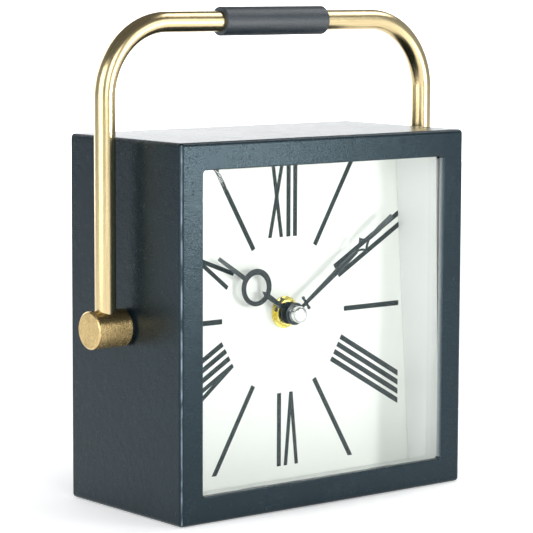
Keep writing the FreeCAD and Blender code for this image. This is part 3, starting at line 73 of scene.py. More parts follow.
HANDLE_HALF_SPAN = 99.0
HANDLE_TOP = 231.8
HANDLE_FOOT = 94.0
HANDLE_BEND = 35.0
TUBE_RADIUS = 5.0
GRIP_HALF_LENGTH, GRIP_RADIUS, GRIP_EDGE = 31.75, 7.0, 0.5
KNOB_INSIDE, KNOB_OUTSIDE, KNOB_RADIUS, KNOB_CHAMFER = 89.0, 108.5, 9.0, 0.6
KNOB_GROOVES, GROOVE_PITCH, GROOVE_DEPTH = 45, 0.4, 0.08
FACE_RINGS, RING_DEPTH, KNOB_CENTRE = 40, 0.012, 0.3
BEND_STEPS, RUN_STEPS, TUBE_AROUND = 40, 8, 64
THREAD_PITCH, THREAD_DEPTH = 0.75, 0.35
TONGUE_HALF = OPENING_HALF + 1.6    # clip tongue tips, up or down from the middle of the opening
CORNER_STEPS, SIDE_STEPS = 8, 24    # steps round a corner of a frame and along its upright sides
HARD_ANGLE, BEVEL_STEPS = 30.0, 2   # edges sharper than this, in degrees, get a bevel

BUSHING_RADIUS, BUSHING_BORE, BUSHING_END = 3.95, 2.55, -14.4
WASHER_RADIUS, WASHER_FRONT = 7.9, -12.0
NUT_HALF_FLATS, NUT_FRONT = 6.35, -14.2
NUT_CHAMFER_DROPS, NUT_CHAMFER_SLOPE = (0.62, 0.5, 0.4, 0.3, 0.2, 0.1, 0.0), 1.75
NUT_UNCUT = 99.0                # a limit so wide that it takes nothing off the corners
CAP_RADIUS, CAP_BASE, CAP_RIM, CAP_FRONT = 4.15, -19.9, -23.1, -24.9
CAP_FLAT = 2.0
ARBOR_RADIUS = 1.7

CAMERA_PLACE = (-756.73, -934.59, 255.43)
CAMERA_AZIMUTH, CAMERA_HEIGHT_ANGLE, CAMERA_ROLL = -38.911, 6.833, 0.213
CAMERA_LENS, CAMERA_SENSOR = 166.197, 36.0

# Glow of the stage, painted light that keeps it pale: distances from the clock, in metres, over which
# it comes up and fades again, and the share of it that is there before and after. The dim glow close to
# the clock is a painted contact shadow, and the fade far off is a painted falloff of light.
FLOOR_GLOW, BACKDROP_GLOW = 0.55, 1.55
GLOW_STARTS, GLOW_FADES = (0.04, 0.14), (1.9, 3.2)
CONTACT_SHADOW_GLOW_SHARE, FAR_GLOW_SHARE = 0.4, 0.4
AIR_HORIZON, AIR_OVERHEAD = (0.40, 0.44, 0.48), (0.15, 0.155, 0.16)
AIR_HORIZON_TOP, AIR_DARK_FROM = 0.3, 0.7

# The stage, in metres: the floor lies a hair under the clock, the backdrop stands on its far edge.
FLOOR_LEVEL, BACK_EDGE = -0.0003, 1.5
FLOOR_LINE, FLOOR_SIDES = [(-3.0, FLOOR_LEVEL), (BACK_EDGE, FLOOR_LEVEL)], (-4.0, 5.0)
BACKDROP_LINE, BACKDROP_SIDES = [(BACK_EDGE, FLOOR_LEVEL), (BACK_EDGE, 1.0)], (-0.55, 3.5)
# Soft panels, in metres and watts: name, place, point it faces, width and height, power.
PANELS = (
    ("key_panel", (0.70, -1.38, 0.47), (0.0, -0.02, 0.1), (0.75, 0.95), 4.2),
    ("left_panel", (-1.6, -0.28, 0.55), (0.0, 0.0, 0.12), (1.25, 1.2), 13.5),
    ("front_panel", (-0.45, -1.35, 0.55), (0.0, -0.02, 0.1), (0.6, 0.9), 5.4),
    ("sheen_panel", (0.265, -0.52, 0.135), (-0.08, -0.04, 0.16), (0.08, 0.08), 0.8),
    ("top_panel", (0.62, -0.12, 0.90), (0.0, 0.0, 0.15), (0.5, 0.5), 2.5),
)

# The case paint. Its bands are in metres: how far the painted reflection on the hem reaches past the
# opening's edge (in millimetres) and past the hem's back, its depths behind the front from dark to
# pale, and the distances from the seam over which the painted highlight line fades.
COAT = (0.0022, 0.0062, 0.0098)
HEM_REFLECTION_MARGIN, HEM_REFLECTION_BEHIND, HEM_REFLECTION_DEPTHS = 0.2, 0.001, (0.0006, 0.0034)
HEM_REFLECTION_DARK, HEM_REFLECTION_PALE = (0.05, 0.07, 0.085), (0.42, 0.44, 0.44)
SEAM_HIGHLIGHT_FADES, SEAM_HIGHLIGHT_TONE = (0.0002, 0.0005), (0.26, 0.32, 0.37)

scene = bpy.context.scene


# ---------------------------------------------------------------- shader nodes
class Value:
    """A socket of a node tree that can be used in sums."""

    def __init__(self, paint, socket):
        self.paint, self.socket = paint, socket

    def _math(self, operation, *terms):
        return self.paint.node("Math", {"operation": operation}, *terms)

    def __add__(self, other):
        return self._math("ADD", self, other)

    def __sub__(self, other):
        return self._math("SUBTRACT", self, other)

    def __rsub__(self, other):
        return self._math("SUBTRACT", other, self)

    def __mul__(self, other):
        return self._math("MULTIPLY", self, other)

    def __truediv__(self, other):
        return self._math("DIVIDE", self, other)

    def __rtruediv__(self, other):
        return self._math("DIVIDE", other, self)

    def __pow__(self, other):
        return self._math("POWER", self, other)

    __radd__, __rmul__ = __add__, __mul__

    def above(self, edge):
        return self._math("GREATER_THAN", self, edge)

    def sine(self):
        return self._math("SINE", self)

    def size(self):
        return self._math("ABSOLUTE", self)

    def clamped(self):
        return self.paint.node("Clamp", {}, self)

    def stretched(self, low, high, new_low=0.0, new_high=1.0):
        """This value with low..high spread over new_low..new_high, held at the ends."""
        return self.paint.node("MapRange", {"clamp": True}, self, low, high, new_low, new_high)


class Paint:
    """A procedural material under construction."""

    def __init__(self, name):
        self.material = bpy.data.materials.new(name)
        self.material.use_nodes = True
        self.tree = self.material.node_tree
        self.tree.nodes.clear()
        self.output = self.tree.nodes.new("ShaderNodeOutputMaterial")

    def node(self, kind, settings, *inputs, out=0, **named):
        """One node of any type: its settings first, then its inputs by place or by name."""
        made = self.tree.nodes.new("ShaderNode" + kind)
        for key, value in settings.items():
            setattr(made, key, value)
        pairs = list(enumerate(inputs))
        pairs += [(key.replace("_", " "), value) for key, value in named.items()]
        for key, value in pairs:
            if value is None:
                continue
            socket = made.inputs[key]
            if isinstance(value, Value):
                self.tree.links.new(value.socket, socket)
            elif isinstance(value, tuple) and len(value) == 3 and socket.type == "RGBA":
                socket.default_value = (*value, 1.0)
            else:
                socket.default_value = value
        return Value(self, made.outputs[out])

    def place(self):
        """Object coordinates, in metres."""
        return self.node("TexCoord", {}, out=3)

    def split(self, vector):
        made = self.tree.nodes.new("ShaderNodeSeparateXYZ")
        self.tree.links.new(vector.socket, made.inputs[0])
        return [Value(self, made.outputs[i]) for i in range(3)]

    def noise(self, where, scale, detail=2.0, roughness=0.5):
        return self.node("TexNoise", {}, Vector=where, Scale=scale, Detail=detail, Roughness=roughness)

    def cells(self, where, scale, feature="F1"):
        return self.node("TexVoronoi", {"feature": feature}, Vector=where, Scale=scale)

    def scaled(self, vector, scale):
        return self.node("VectorMath", {"operation": "MULTIPLY"}, vector, scale)

    def blend(self, factor, first, second):
        """A mix of two colours."""
        made = self.tree.nodes.new("ShaderNodeMix")
        made.data_type = "RGBA"
        for place, value in ((0, factor), (6, first), (7, second)):
            if isinstance(value, Value):
                self.tree.links.new(value.socket, made.inputs[place])
            elif place == 0:
                made.inputs[0].default_value = value
            else:
                made.inputs[place].default_value = (*value, 1.0)
        return Value(self, made.outputs[2])

    def bump(self, height, strength, distance):
        return self.node("Bump", {}, Height=height, Strength=strength, Distance=distance)

    def edge_light(self, radius):
        """Near 0 on flat faces and rising to 1 at sharp edges, where a highlight is painted."""
        return self.node("NewGeometry", {}, out=7).stretched(0.5 + radius, 0.62 + radius)

    def finish(self, colour, roughness, normal=None, **others):
        surface = self.node("BsdfPrincipled", {}, Base_Color=colour, Roughness=roughness,
                            Normal=normal, **others)
        self.tree.links.new(surface.socket, self.output.inputs[0])
        return self.material


def powder_coat():
    """Satin slate-black powder coat: a fine orange-peel skin with a few dust nibs."""
    p = Paint("powder_coat")
    where = p.place()
    peel = p.noise(where, 1500.0, 3.0, 0.55)
    swell = p.noise(where, 240.0, 2.0)
    cloud = p.noise(where, 22.0, 4.0, 0.6)
    nibs = p.cells(where, 330.0).stretched(0.05, 0.16, 1.0, 0.0)
    tone = p.blend(cloud.stretched(0.35, 0.7), COAT, tuple(c * 1.35 for c in COAT))
    tone = p.blend(nibs * 0.2, tone, (0.03, 0.04, 0.045))
    x, y, z = p.split(where)
    # painted reflection of the white liner on the hem round the opening
    tone = painted_hem_reflection(p, x, y, z, tone)
    # painted highlight: a broken pale line down the seam in each front corner
    tone = painted_seam_highlight(p, where, x, y, tone)
    rough = 0.215 + cloud * 0.06 + peel * 0.05
    skin = p.bump(peel * 0.8 + swell + nibs * 0.8, 0.4, 0.0003)
    return p.finish(tone, rough, skin, Specular_IOR_Level=0.40, Specular_Tint=(0.62, 0.88, 1.0))


def painted_hem_reflection(p, x, y, z, tone):
    """A painted reflection of the white liner on the hem round the opening, paler towards the glass."""
    up = z - MIDDLE_HEIGHT * MM
    edge = (OPENING_HALF + HEM_REFLECTION_MARGIN) * MM
    inside = (1.0 - (x * x).above(edge * edge)) * (1.0 - (up * up).above(edge * edge))
    inside = inside * (1.0 - y.above(HEM_BACK * MM + HEM_REFLECTION_BEHIND))
    depth = (y + CASE_HALF_DEPTH * MM).stretched(*HEM_REFLECTION_DEPTHS)
    return p.blend(inside, tone, p.blend(depth, HEM_REFLECTION_DARK, HEM_REFLECTION_PALE))


def painted_seam_highlight(p, where, x, y, tone):
    """A painted highlight: a broken pale line down the seam in each front corner."""
    turn = math.radians(SEAM_TURN)
    aside = (x * x) ** 0.5 - (CASE_HALF_WIDTH - CASE_BEND * (1 - math.sin(turn))) * MM
    ahead = y + (CASE_HALF_DEPTH - CASE_BEND * (1 - math.cos(turn))) * MM
    seam = ((aside * aside + ahead * ahead) ** 0.5).stretched(*SEAM_HIGHLIGHT_FADES, 1.0, 0.0)
    broken = p.noise(p.scaled(where, (300.0, 300.0, 90.0)), 1.0, 3.0).stretched(0.38, 0.58, 0.15, 1.0)
    return p.blend(seam * broken, tone, SEAM_HIGHLIGHT_TONE)


def brushed_brass(name, grain_across, grain_along, rough, depth, dark, light):
    """Satin brass, brushed along the piece's grain coordinate."""
    p = Paint(name)
    grain = p.node("Attribute", {"attribute_name": "grain"}, out=1)
    lines = p.noise(p.scaled(grain, (grain_along, grain_across, grain_across)), 1.0, 4.0, 0.62)
    fine = p.noise(p.scaled(grain, (grain_along * 3.0, grain_across * 2.6, grain_across * 2.6)), 1.0,
                   3.0, 0.6)
    haze = p.noise(p.place(), 55.0, 3.0, 0.55)
    tone = p.blend(lines.stretched(0.32, 0.7), dark, light)
    tone = p.blend(haze.stretched(0.45, 0.75) * 0.3, tone, tuple(c * 0.95 for c in dark))
    skin = p.bump(lines + fine * 0.5, 0.3, depth)
    return p.finish(tone, rough + lines * 0.06 + haze * 0.04, skin, Metallic=1.0)


def yellow_brass():
    """Bright turned brass of the dial fixing."""
    p = Paint("yellow_brass")
    x, _, z = p.split(p.place())
    up = z - SHAFT_HEIGHT * MM
    out = (x * x + up * up) ** 0.5
    turned = (out * 14000.0).sine()
    spots = p.noise(p.place(), 900.0, 3.0)
    tone = p.blend(spots.stretched(0.35, 0.65), (0.72, 0.60, 0.14), (0.86, 0.76, 0.25))
    skin = p.bump(turned * 0.5 + spots, 0.25, 0.00004)
    return p.finish(tone, 0.2 + spots * 0.14, skin, Metallic=1.0)


def hand_black():
    """Slate-black anodised sheet with a painted highlight along its thin edges."""
    p = Paint("hand_enamel")
    where = p.place()
    speck = p.noise(where, 2600.0, 2.0, 0.6)
    cloud = p.noise(where, 160.0, 3.0)
    tone = p.blend(cloud.stretched(0.35, 0.65), (0.006, 0.015, 0.018), (0.013, 0.026, 0.030))
    # painted highlight: the thin edges are blended paler
    tone = p.blend(p.edge_light(0.03) * 0.75, tone, (0.30, 0.33, 0.34))
    skin = p.bump(speck, 0.2, 0.00004)
    return p.finish(tone, 0.38 + speck * 0.12, skin, Specular_IOR_Level=0.3)


def plated_steel(name, dark, light, rough, scale=900.0, depth=0.00004):
    """Bright plated or bare steel with fine scratches."""
    p = Paint(name)
    where = p.place()
    scratch = p.noise(p.scaled(where, (1.0, 0.25, 1.0)), scale, 4.0, 0.65)
    cloud = p.noise(where, 90.0, 3.0)
    tone = p.blend(cloud.stretched(0.35, 0.7), dark, light)
    skin = p.bump(scratch, 0.2, depth)
    return p.finish(tone, rough + scratch * 0.12, skin, Metallic=1.0)


def moulded(name, dark, light, rough, clear=0.0):
    """Moulded plastic or rubber: a fine spark-eroded skin over faint flow clouds."""
    p = Paint(name)
    where = p.place()
    skin_grain = p.noise(where, 1600.0, 3.0, 0.6)
    cloud = p.noise(where, 70.0, 4.0, 0.55)
    tone = p.blend(cloud.stretched(0.3, 0.7), dark, light)
    skin = p.bump(skin_grain, 0.35, 0.00005)
    return p.finish(tone, rough + skin_grain * 0.12, skin, Subsurface_Weight=clear,
                    Subsurface_Scale=0.002)


def grip_skin():
    """Black pebbled grip."""
    p = Paint("grip_skin")
    where = p.place()
    pebbles = p.cells(where, 1700.0, "SMOOTH_F1")
    dust = p.noise(where, 400.0, 3.0, 0.6)
    tone = p.blend(pebbles.stretched(0.1, 0.6), (0.028, 0.044, 0.056), (0.010, 0.016, 0.021))
    tone = p.blend(dust.stretched(0.5, 0.8) * 0.35, tone, (0.055, 0.060, 0.066))
    skin = p.bump(1.0 - pebbles, 0.55, 0.00022)
    return p.finish(tone, 0.36 + dust * 0.15, skin, Specular_IOR_Level=0.8)


def card_white(name, dark, light, grain=1400.0):
    """Coated white card or painted sheet with a faint tooth."""
    p = Paint(name)
    where = p.place()
    tooth = p.noise(where, grain, 3.0, 0.6)
    cloud = p.noise(where, 14.0, 3.0)
    tone = p.blend(cloud.stretched(0.3, 0.7), dark, light)
    skin = p.bump(tooth, 0.12, 0.00005)
    return p.finish(tone, 0.5 + tooth * 0.12, skin, Specular_IOR_Level=0.35)


def numeral_ink():
    """Matt screen-printed ink, a little thin and grey in places, with a painted reflection that makes it
    paler towards the bottom.
    """
    p = Paint("numeral_ink")
    where = p.place()
    mottle = p.noise(where, 520.0, 4.0, 0.65)
    z = p.split(where)[2]
    # painted reflection: the ink is blended paler below 85 mm height, most at the bottom
    low = (z * -1.0 + 0.085).stretched(0.0, 0.05)
    tone = p.blend(mottle.stretched(0.4, 0.7), (0.012, 0.024, 0.026), (0.024, 0.040, 0.042))
    tone = p.blend(low * 0.35 * mottle.stretched(0.3, 0.6), tone, (0.10, 0.12, 0.125))
    skin = p.bump(mottle, 0.2, 0.00003)
    return p.finish(tone, 0.5 + mottle * 0.2, skin, Specular_IOR_Level=0.25)


def window_glass():
    """Clear float glass: it lets the dial be seen and adds only its own reflection."""
    p = Paint("window_glass")
    film = p.noise(p.place(), 35.0, 3.0, 0.6)
    gloss = p.node("BsdfPrincipled", {}, Base_Color=(0.93, 0.96, 0.95), Metallic=1.0,
                   Roughness=film.stretched(0.3, 0.8, 0.015, 0.05))
    clear = p.node("BsdfTransparent", {}, Color=(0.993, 0.997, 0.994))
    facing = p.node("Fresnel", {}, IOR=1.45)
    mixed = p.node("MixShader", {}, facing * 0.07, clear, gloss)
    p.tree.links.new(mixed.socket, p.output.inputs[0])
    return p.material


def battery_wrap():
    """Dark battery jacket with a copper-coloured band at the positive end."""
    p = Paint("battery_jacket")
    x = p.split(p.place())[0]
    band = x.stretched(0.0125, 0.0127)
    ends = x.size().stretched(0.02395, 0.02405)
    speck = p.noise(p.place(), 700.0, 2.0)
    tone = p.blend(band, (0.012, 0.013, 0.015), (0.46, 0.20, 0.07))
    tone = p.blend(ends, tone, (0.72, 0.72, 0.70))
    metal = (band * 0.55 + ends).clamped()
    skin = p.bump(speck, 0.15, 0.00003)
    return p.finish(tone, 0.28 + speck * 0.1, skin, Metallic=metal)


def copper_winding():
    """Enamelled copper wire wound in tight turns."""
    p = Paint("copper_winding")
    x = p.split(p.place())[0]
    turns = (x * 30000.0).sine()
    wander = p.noise(p.place(), 500.0, 2.0)
    # painted shade: the colour darkens in the grooves between the turns
    tone = p.blend(turns.stretched(-0.6, 0.8), (0.30, 0.08, 0.03), (0.75, 0.30, 0.12))
    skin = p.bump(turns + wander * 0.4, 0.6, 0.00006)
    return p.finish(tone, 0.28 + wander * 0.1, skin, Metallic=1.0)


def circuit_green():
    """Green solder mask over faint tracks."""
    p = Paint("circuit_green")
    x, _, z = p.split(p.place())
    tracks = ((x + z) * 3200.0).sine().stretched(0.75, 0.85)
    speck = p.noise(p.place(), 900.0, 2.0)
    tone = p.blend(tracks, (0.012, 0.11, 0.035), (0.03, 0.19, 0.06))
    skin = p.bump(tracks + speck * 0.2, 0.3, 0.00004)
    return p.finish(tone, 0.3 + speck * 0.1, skin)


FINISHES = {
    "case_paint": powder_coat(),
    "glass": window_glass(),
    "spring_steel": plated_steel("spring_steel", (0.38, 0.39, 0.40), (0.52, 0.53, 0.54), 0.32),
    "white_card": card_white("white_card", (0.77, 0.785, 0.765), (0.82, 0.835, 0.82)),
    "dial_white": card_white("dial_paint", (0.865, 0.885, 0.835), (0.895, 0.915, 0.865), 900.0),
    "print_grey": numeral_ink(),
    "bright_steel": plated_steel("bright_steel", (0.58, 0.58, 0.57), (0.72, 0.72, 0.71), 0.2),
    "brass": yellow_brass(),
    "magnet": plated_steel("magnet_grey", (0.16, 0.16, 0.17), (0.24, 0.24, 0.25), 0.34),
    "nylon": moulded("nylon", (0.72, 0.71, 0.66), (0.80, 0.79, 0.74), 0.42, clear=0.1),
    "grip_black": grip_skin(),
    "black_plastic": moulded("black_plastic", (0.016, 0.016, 0.018), (0.026, 0.026, 0.028), 0.4),
    "gear_plastic": moulded("gear_plastic", (0.70, 0.69, 0.62), (0.80, 0.79, 0.73), 0.35, clear=0.1),
    "rubber": moulded("washer_rubber", (0.018, 0.018, 0.018), (0.030, 0.030, 0.030), 0.7),
    "board_green": circuit_green(),
    "copper": copper_winding(),
    "battery_wrap": battery_wrap(),
    "nickel": plated_steel("polished_nickel", (0.80, 0.80, 0.79), (0.90, 0.90, 0.89), 0.12, 600.0,
                           0.00002),
    "hand_black": hand_black(),
}
TUBE_BRASS = brushed_brass("tube_brass", 5200.0, 60.0, 0.15, 0.00006,
                           (0.60, 0.46, 0.235), (0.80, 0.66, 0.39))
KNOB_BRASS = brushed_brass("knob_brass", 7000.0, 300.0, 0.2, 0.0002,
                           (0.46, 0.30, 0.11), (0.95, 0.73, 0.37))


# ---------------------------------------------------------------- mesh tools
node_body = {n: body for body, names in frame["record"]["behaviour"]["bodies"].items() for n in names}
node_slot = {part["node"]: part["material_slot"] for part in frame["record"]["subparts"]}


def piece(name, mesh, nodes, material=None, smooth_angle=32.0, weighted=True):
    """A finished piece that stands for CAD nodes, on the body and slot of the first one."""
    mesh.name = name
    for polygon in mesh.polygons:
        polygon.use_smooth = True
    mesh.set_sharp_from_angle(angle=math.radians(smooth_angle))
    made = bpy.data.objects.new(name, mesh)
    scene.collection.objects.link(made)
    slot = node_slot[nodes[0]]
    mesh.materials.clear()
    mesh.materials.append(material or FINISHES[slot])
    if weighted:
        made.modifiers.new("even_shading", "WEIGHTED_NORMAL").keep_sharp = True
    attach(made, node_body[nodes[0]])
    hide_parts(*nodes)
    return made


def mesh_from(bm):
    bmesh.ops.recalc_face_normals(bm, faces=bm.faces)
    mesh = bpy.data.meshes.new("mesh")
    bm.to_mesh(mesh)
    bm.free()
    return mesh


def loop_of_points(bm, points):
    return [bm.verts.new((x * MM, y * MM, z * MM)) for x, y, z in points]


def skin_between(bm, first, second):
    count = len(first)
    for i in range(count):
        j = (i + 1) % count
        bm.faces.new((first[i], first[j], second[j], second[i]))


def loft(loops, closed=False):
    """A skin over loops of points. Closed joins the last loop to the first; open ends are capped."""
    bm = bmesh.new()
    rows = [loop_of_points(bm, points) for points in loops]
    for first, second in zip(rows, rows[1:]):
        skin_between(bm, first, second)
    if closed:
        skin_between(bm, rows[-1], rows[0])
    else:
        bm.faces.new(rows[0])
        bm.faces.new(rows[-1])
    return bm


def rounded_loop(half_width, half_height, corner, y):
    """A rounded rectangle in the plane of the dial, at depth y, with points along its upright sides."""
    corner = max(corner, 0.02)
    points = []
    for quarter, (sx, sz) in enumerate(((1, 1), (-1, 1), (-1, -1), (1, -1))):
        cx, cz = sx * (half_width - corner), sz * (half_height - corner)
        for step in range(CORNER_STEPS + 1):
            turn = math.radians(90 * quarter + 90 * step / CORNER_STEPS)
            points.append((cx + corner * math.cos(turn), y, MIDDLE_HEIGHT + cz + corner * math.sin(turn)))
        if quarter in (1, 3):
            for step in range(1, SIDE_STEPS):
                points.append((sx * half_width, y, MIDDLE_HEIGHT + cz * (1 - 2 * step / SIDE_STEPS)))
    return points


def framed(half_width, half_height, rows):
    """Loops of a frame: each row is how far inside the outline, the corner radius and the depth."""
    return [rounded_loop(half_width - inset, half_height - inset, corner, y)
            for inset, corner, y in rows]


def arc(count):
    """Sine and cosine over a quarter turn."""
    return [(math.sin(math.pi / 2 * i / count), math.cos(math.pi / 2 * i / count))
            for i in range(count + 1)]


def turned_y(profile, around=72):
    """Loops of a piece turned about the shaft: the profile is (radius, y)."""
    turns = [2 * math.pi * i / around for i in range(around)]
    return [[(r * math.cos(t), y, SHAFT_HEIGHT + r * math.sin(t)) for t in turns] for r, y in profile]


def turned_x(profile, z=MIDDLE_HEIGHT, around=96):
    """Loops of a turned piece about X: the profile is (radius, x)."""
    turns = [2 * math.pi * i / around for i in range(around)]
    return [[(x, r * math.cos(t), z + r * math.sin(t)) for t in turns] for r, x in profile]


def with_grain(mesh, grain_at):
    """Store a grain coordinate for each point, which the shader draws its brush lines from."""
    layer = mesh.attributes.new("grain", "FLOAT_VECTOR", "POINT")
    for i, vertex in enumerate(mesh.vertices):
        layer.data[i].vector = grain_at(vertex.co, i)
    return mesh


def eased(node, width, change=None):
    """The CAD shape of a node with its hard edges broken by a small bevel."""
    bm = bmesh.new()
    bm.from_mesh(frame["nodes"][node].data)
    bmesh.ops.remove_doubles(bm, verts=bm.verts, dist=1e-6)
    bmesh.ops.dissolve_limit(bm, angle_limit=math.radians(0.6), verts=bm.verts, edges=bm.edges)
    hard = [e for e in bm.edges if len(e.link_faces) == 2
            and e.calc_face_angle(0.0) > math.radians(HARD_ANGLE)]
    bmesh.ops.bevel(bm, geom=hard, offset=width * MM, offset_type="OFFSET", segments=BEVEL_STEPS,
                    profile=0.5, affect="EDGES", clamp_overlap=True)
    bmesh.ops.remove_doubles(bm, verts=bm.verts, dist=1e-7)
    if change:
        change(bm)
    return piece(node + "_finished", mesh_from(bm), [node], smooth_angle=25.0)


def tuck_tongues(bm):
    """Keep the clip tongues just out of the opening."""
    for vertex in bm.verts:
        up = vertex.co.z / MM - MIDDLE_HEIGHT
        if abs(up) < TONGUE_HALF:
            vertex.co.z = (MIDDLE_HEIGHT + math.copysign(TONGUE_HALF, up)) * MM


def card_lip(bm):
    """The liner's right wall is turned out behind the glass, which closes the gap beside it."""
    def wall(z):
        share = (z - LINER_FLOOR) / (LINER_ROOF - LINER_FLOOR)
        return LINER_RIGHT[0] + (LINER_RIGHT[1] - LINER_RIGHT[0]) * share

    outline = [(wall(LIP_LOW), LIP_LOW), (LIP_OUT, LIP_LOW),
               (LIP_OUT, LIP_HIGH), (wall(LIP_HIGH), LIP_HIGH)]
    front, back = (loop_of_points(bm, [(x, y, z) for x, z in outline]) for y in LIP_DEPTHS)
    bm.faces.new(front)
    bm.faces.new(back[::-1])
    skin_between(bm, back, front)


# ---------------------------------------------------------------- case
def case():
    """One folded sheet: front with a rounded opening and hem, sides, rear rim and flange."""
    w, h = CASE_HALF_WIDTH, CASE_HALF_HEIGHT
    front, back = -CASE_HALF_DEPTH, CASE_HALF_DEPTH
    lip_out = w - OPENING_HALF - OPENING_LIP
    rows = []
    for s, c in arc(24):
        rows.append((CASE_BEND * (1 - s), CASE_BEND * s, front + CASE_BEND * (1 - c)))
    rows.reverse()
    for s, c in arc(6):
        rows.append((lip_out + OPENING_LIP * s, OPENING_CORNER + OPENING_LIP * (1 - s),
                     front + OPENING_LIP * (1 - c)))
    opening, hem_corner = w - OPENING_HALF, OPENING_CORNER + SHEET
    inner, flange = opening - SHEET, SHEET + FLANGE_WIDTH
    rows += [
        (opening, OPENING_CORNER, HEM_BACK - EASE),
        (opening - EASE_START, OPENING_CORNER + EASE_START, HEM_BACK - EASE_START),
        (opening - EASE, OPENING_CORNER + EASE, HEM_BACK),
        (inner + EASE, hem_corner - EASE, HEM_BACK),
        (inner, hem_corner, HEM_BACK - EASE),
        (inner, hem_corner, front + SHEET),
        (SHEET + INNER_CORNER, INNER_CORNER + EASE_START, front + SHEET),
        (SHEET, INNER_CORNER, front + SHEET + INNER_CORNER),
        (SHEET, INNER_CORNER, FLANGE_FRONT),
        (flange - EASE, FLANGE_CORNER, FLANGE_FRONT),
        (flange, FLANGE_CORNER, FLANGE_FRONT + EASE),
        (flange, FLANGE_CORNER, FLANGE_BACK - EASE),
        (flange - EASE, FLANGE_CORNER, FLANGE_BACK),
        (SHEET + FLANGE_CORNER, INNER_CORNER, FLANGE_BACK),
        (SHEET, INNER_CORNER, FLANGE_BACK + FLANGE_CORNER),
    ]
    for s, c in arc(3):
        rows.append((SHEET - EASE * (1 - c), INNER_CORNER + EASE * (1 - c), back - EASE + EASE * s))
    for s, c in arc(5):
        rows.append((REAR_RIM * (1 - s), CASE_BEND - REAR_RIM * (1 - s), back - REAR_RIM + REAR_RIM * c))
    bm = loft(framed(w, h, rows), closed=True)
    bmesh.ops.remove_doubles(bm, verts=bm.verts, dist=1e-7)
    press_seam(bm)
    piece("case_body", mesh_from(bm), ["case_shell"])


def press_seam(bm):
    """The painted seam down each front corner: a shallow, slightly uneven groove in the bend."""
    turn = math.radians(SEAM_TURN)
    seam_x = CASE_HALF_WIDTH - CASE_BEND * (1 - math.sin(turn))
    seam_y = -CASE_HALF_DEPTH + CASE_BEND * (1 - math.cos(turn))
    for vertex in bm.verts:
        x, y, z = (c / MM for c in vertex.co)
        away = math.hypot(abs(x) - seam_x, y - seam_y)
        from_end = min(z, 2 * MIDDLE_HEIGHT - z) - CASE_BEND
        if away > SEAM_HALF_WIDTH or from_end < 0:
            continue
        wave = 1.0 + 0.3 * math.sin(z * 0.21) + 0.2 * math.sin(z * 0.47 + 1.0)
        depth = SEAM_DEPTH * (1 - (away / SEAM_HALF_WIDTH) ** 2) * wave * min(1.0, from_end / 3.0)
        side = math.copysign(1.0, x)
        vertex.co += Vector((-side * math.sin(turn), math.cos(turn), 0.0)) * depth * MM


def glass():
    """A pane with ground edges."""
    low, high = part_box("glass_pane")
    y0, y1 = low.y / MM, high.y / MM
    half = high.x / MM
    rows = [(0.4, 0.6, y0), (0.0, 1.0, y0 + 0.4), (0.0, 1.0, y1 - 0.4), (0.4, 0.6, y1)]
    bm = loft(framed(half, half, rows))
    piece("glass_sheet", mesh_from(bm), ["glass_pane"])


def handle_line():
    """Points and headings along the middle of the tube, from the left foot to the right one."""
    points = []
    rise = HANDLE_TOP - HANDLE_BEND - HANDLE_FOOT
    for i in range(RUN_STEPS):
        points.append((-HANDLE_HALF_SPAN, HANDLE_FOOT + rise * i / RUN_STEPS, 90.0))
    for i in range(BEND_STEPS + 1):
        turn = 90.0 * i / BEND_STEPS
        points.append((-HANDLE_HALF_SPAN + HANDLE_BEND * (1 - math.cos(math.radians(turn))),
                       HANDLE_TOP - HANDLE_BEND * (1 - math.sin(math.radians(turn))), 90.0 - turn))
    half_run = HANDLE_HALF_SPAN - HANDLE_BEND
    for i in range(1, RUN_STEPS):
        points.append((-half_run + i * half_run / RUN_STEPS, HANDLE_TOP, 0.0))
    points.append((0.0, HANDLE_TOP, 0.0))
    return points + [(-x, z, -heading) for x, z, heading in reversed(points[:-1])]


def handle_tube():
    """The bent brass tube, brushed along its length."""
    loops, lengths, run = [], [], 0.0
    line = handle_line()
    for i, (x, z, heading) in enumerate(line):
        if i:
            run += math.hypot(x - line[i - 1][0], z - line[i - 1][1])
        lengths.append(run)
        side = math.radians(heading + 90.0)
        loops.append([(x + TUBE_RADIUS * math.cos(t) * math.cos(side), TUBE_RADIUS * math.sin(t),
                       z + TUBE_RADIUS * math.cos(t) * math.sin(side))
                      for t in (2 * math.pi * k / TUBE_AROUND for k in range(TUBE_AROUND))])
    mesh = mesh_from(loft(loops))

    def grain(place, i):
        row, k = divmod(i, TUBE_AROUND)
        turn = 2 * math.pi * k / TUBE_AROUND
        return (lengths[row] * MM, TUBE_RADIUS * MM * math.cos(turn), TUBE_RADIUS * MM * math.sin(turn))

    piece("handle_bow", with_grain(mesh, grain), ["handle_tube"], TUBE_BRASS, weighted=False)


def grip():
    """A sleeve with softly rounded ends."""
    half, edge = GRIP_HALF_LENGTH, GRIP_EDGE
    profile = [(TUBE_RADIUS, -half)]
    for s, c in arc(5):
        profile.append((GRIP_RADIUS - edge * (1 - s), -half + edge * (1 - c)))
    for i in range(1, 24):
        profile.append((GRIP_RADIUS, -half + edge + (2 * half - 2 * edge) * i / 24))
    profile += [(r, -x) for r, x in reversed(profile[1:7])] + [(TUBE_RADIUS, half)]
    bm = loft(turned_x(profile, z=HANDLE_TOP), closed=True)
    piece("grip_cover", mesh_from(bm), ["grip_sleeve"])


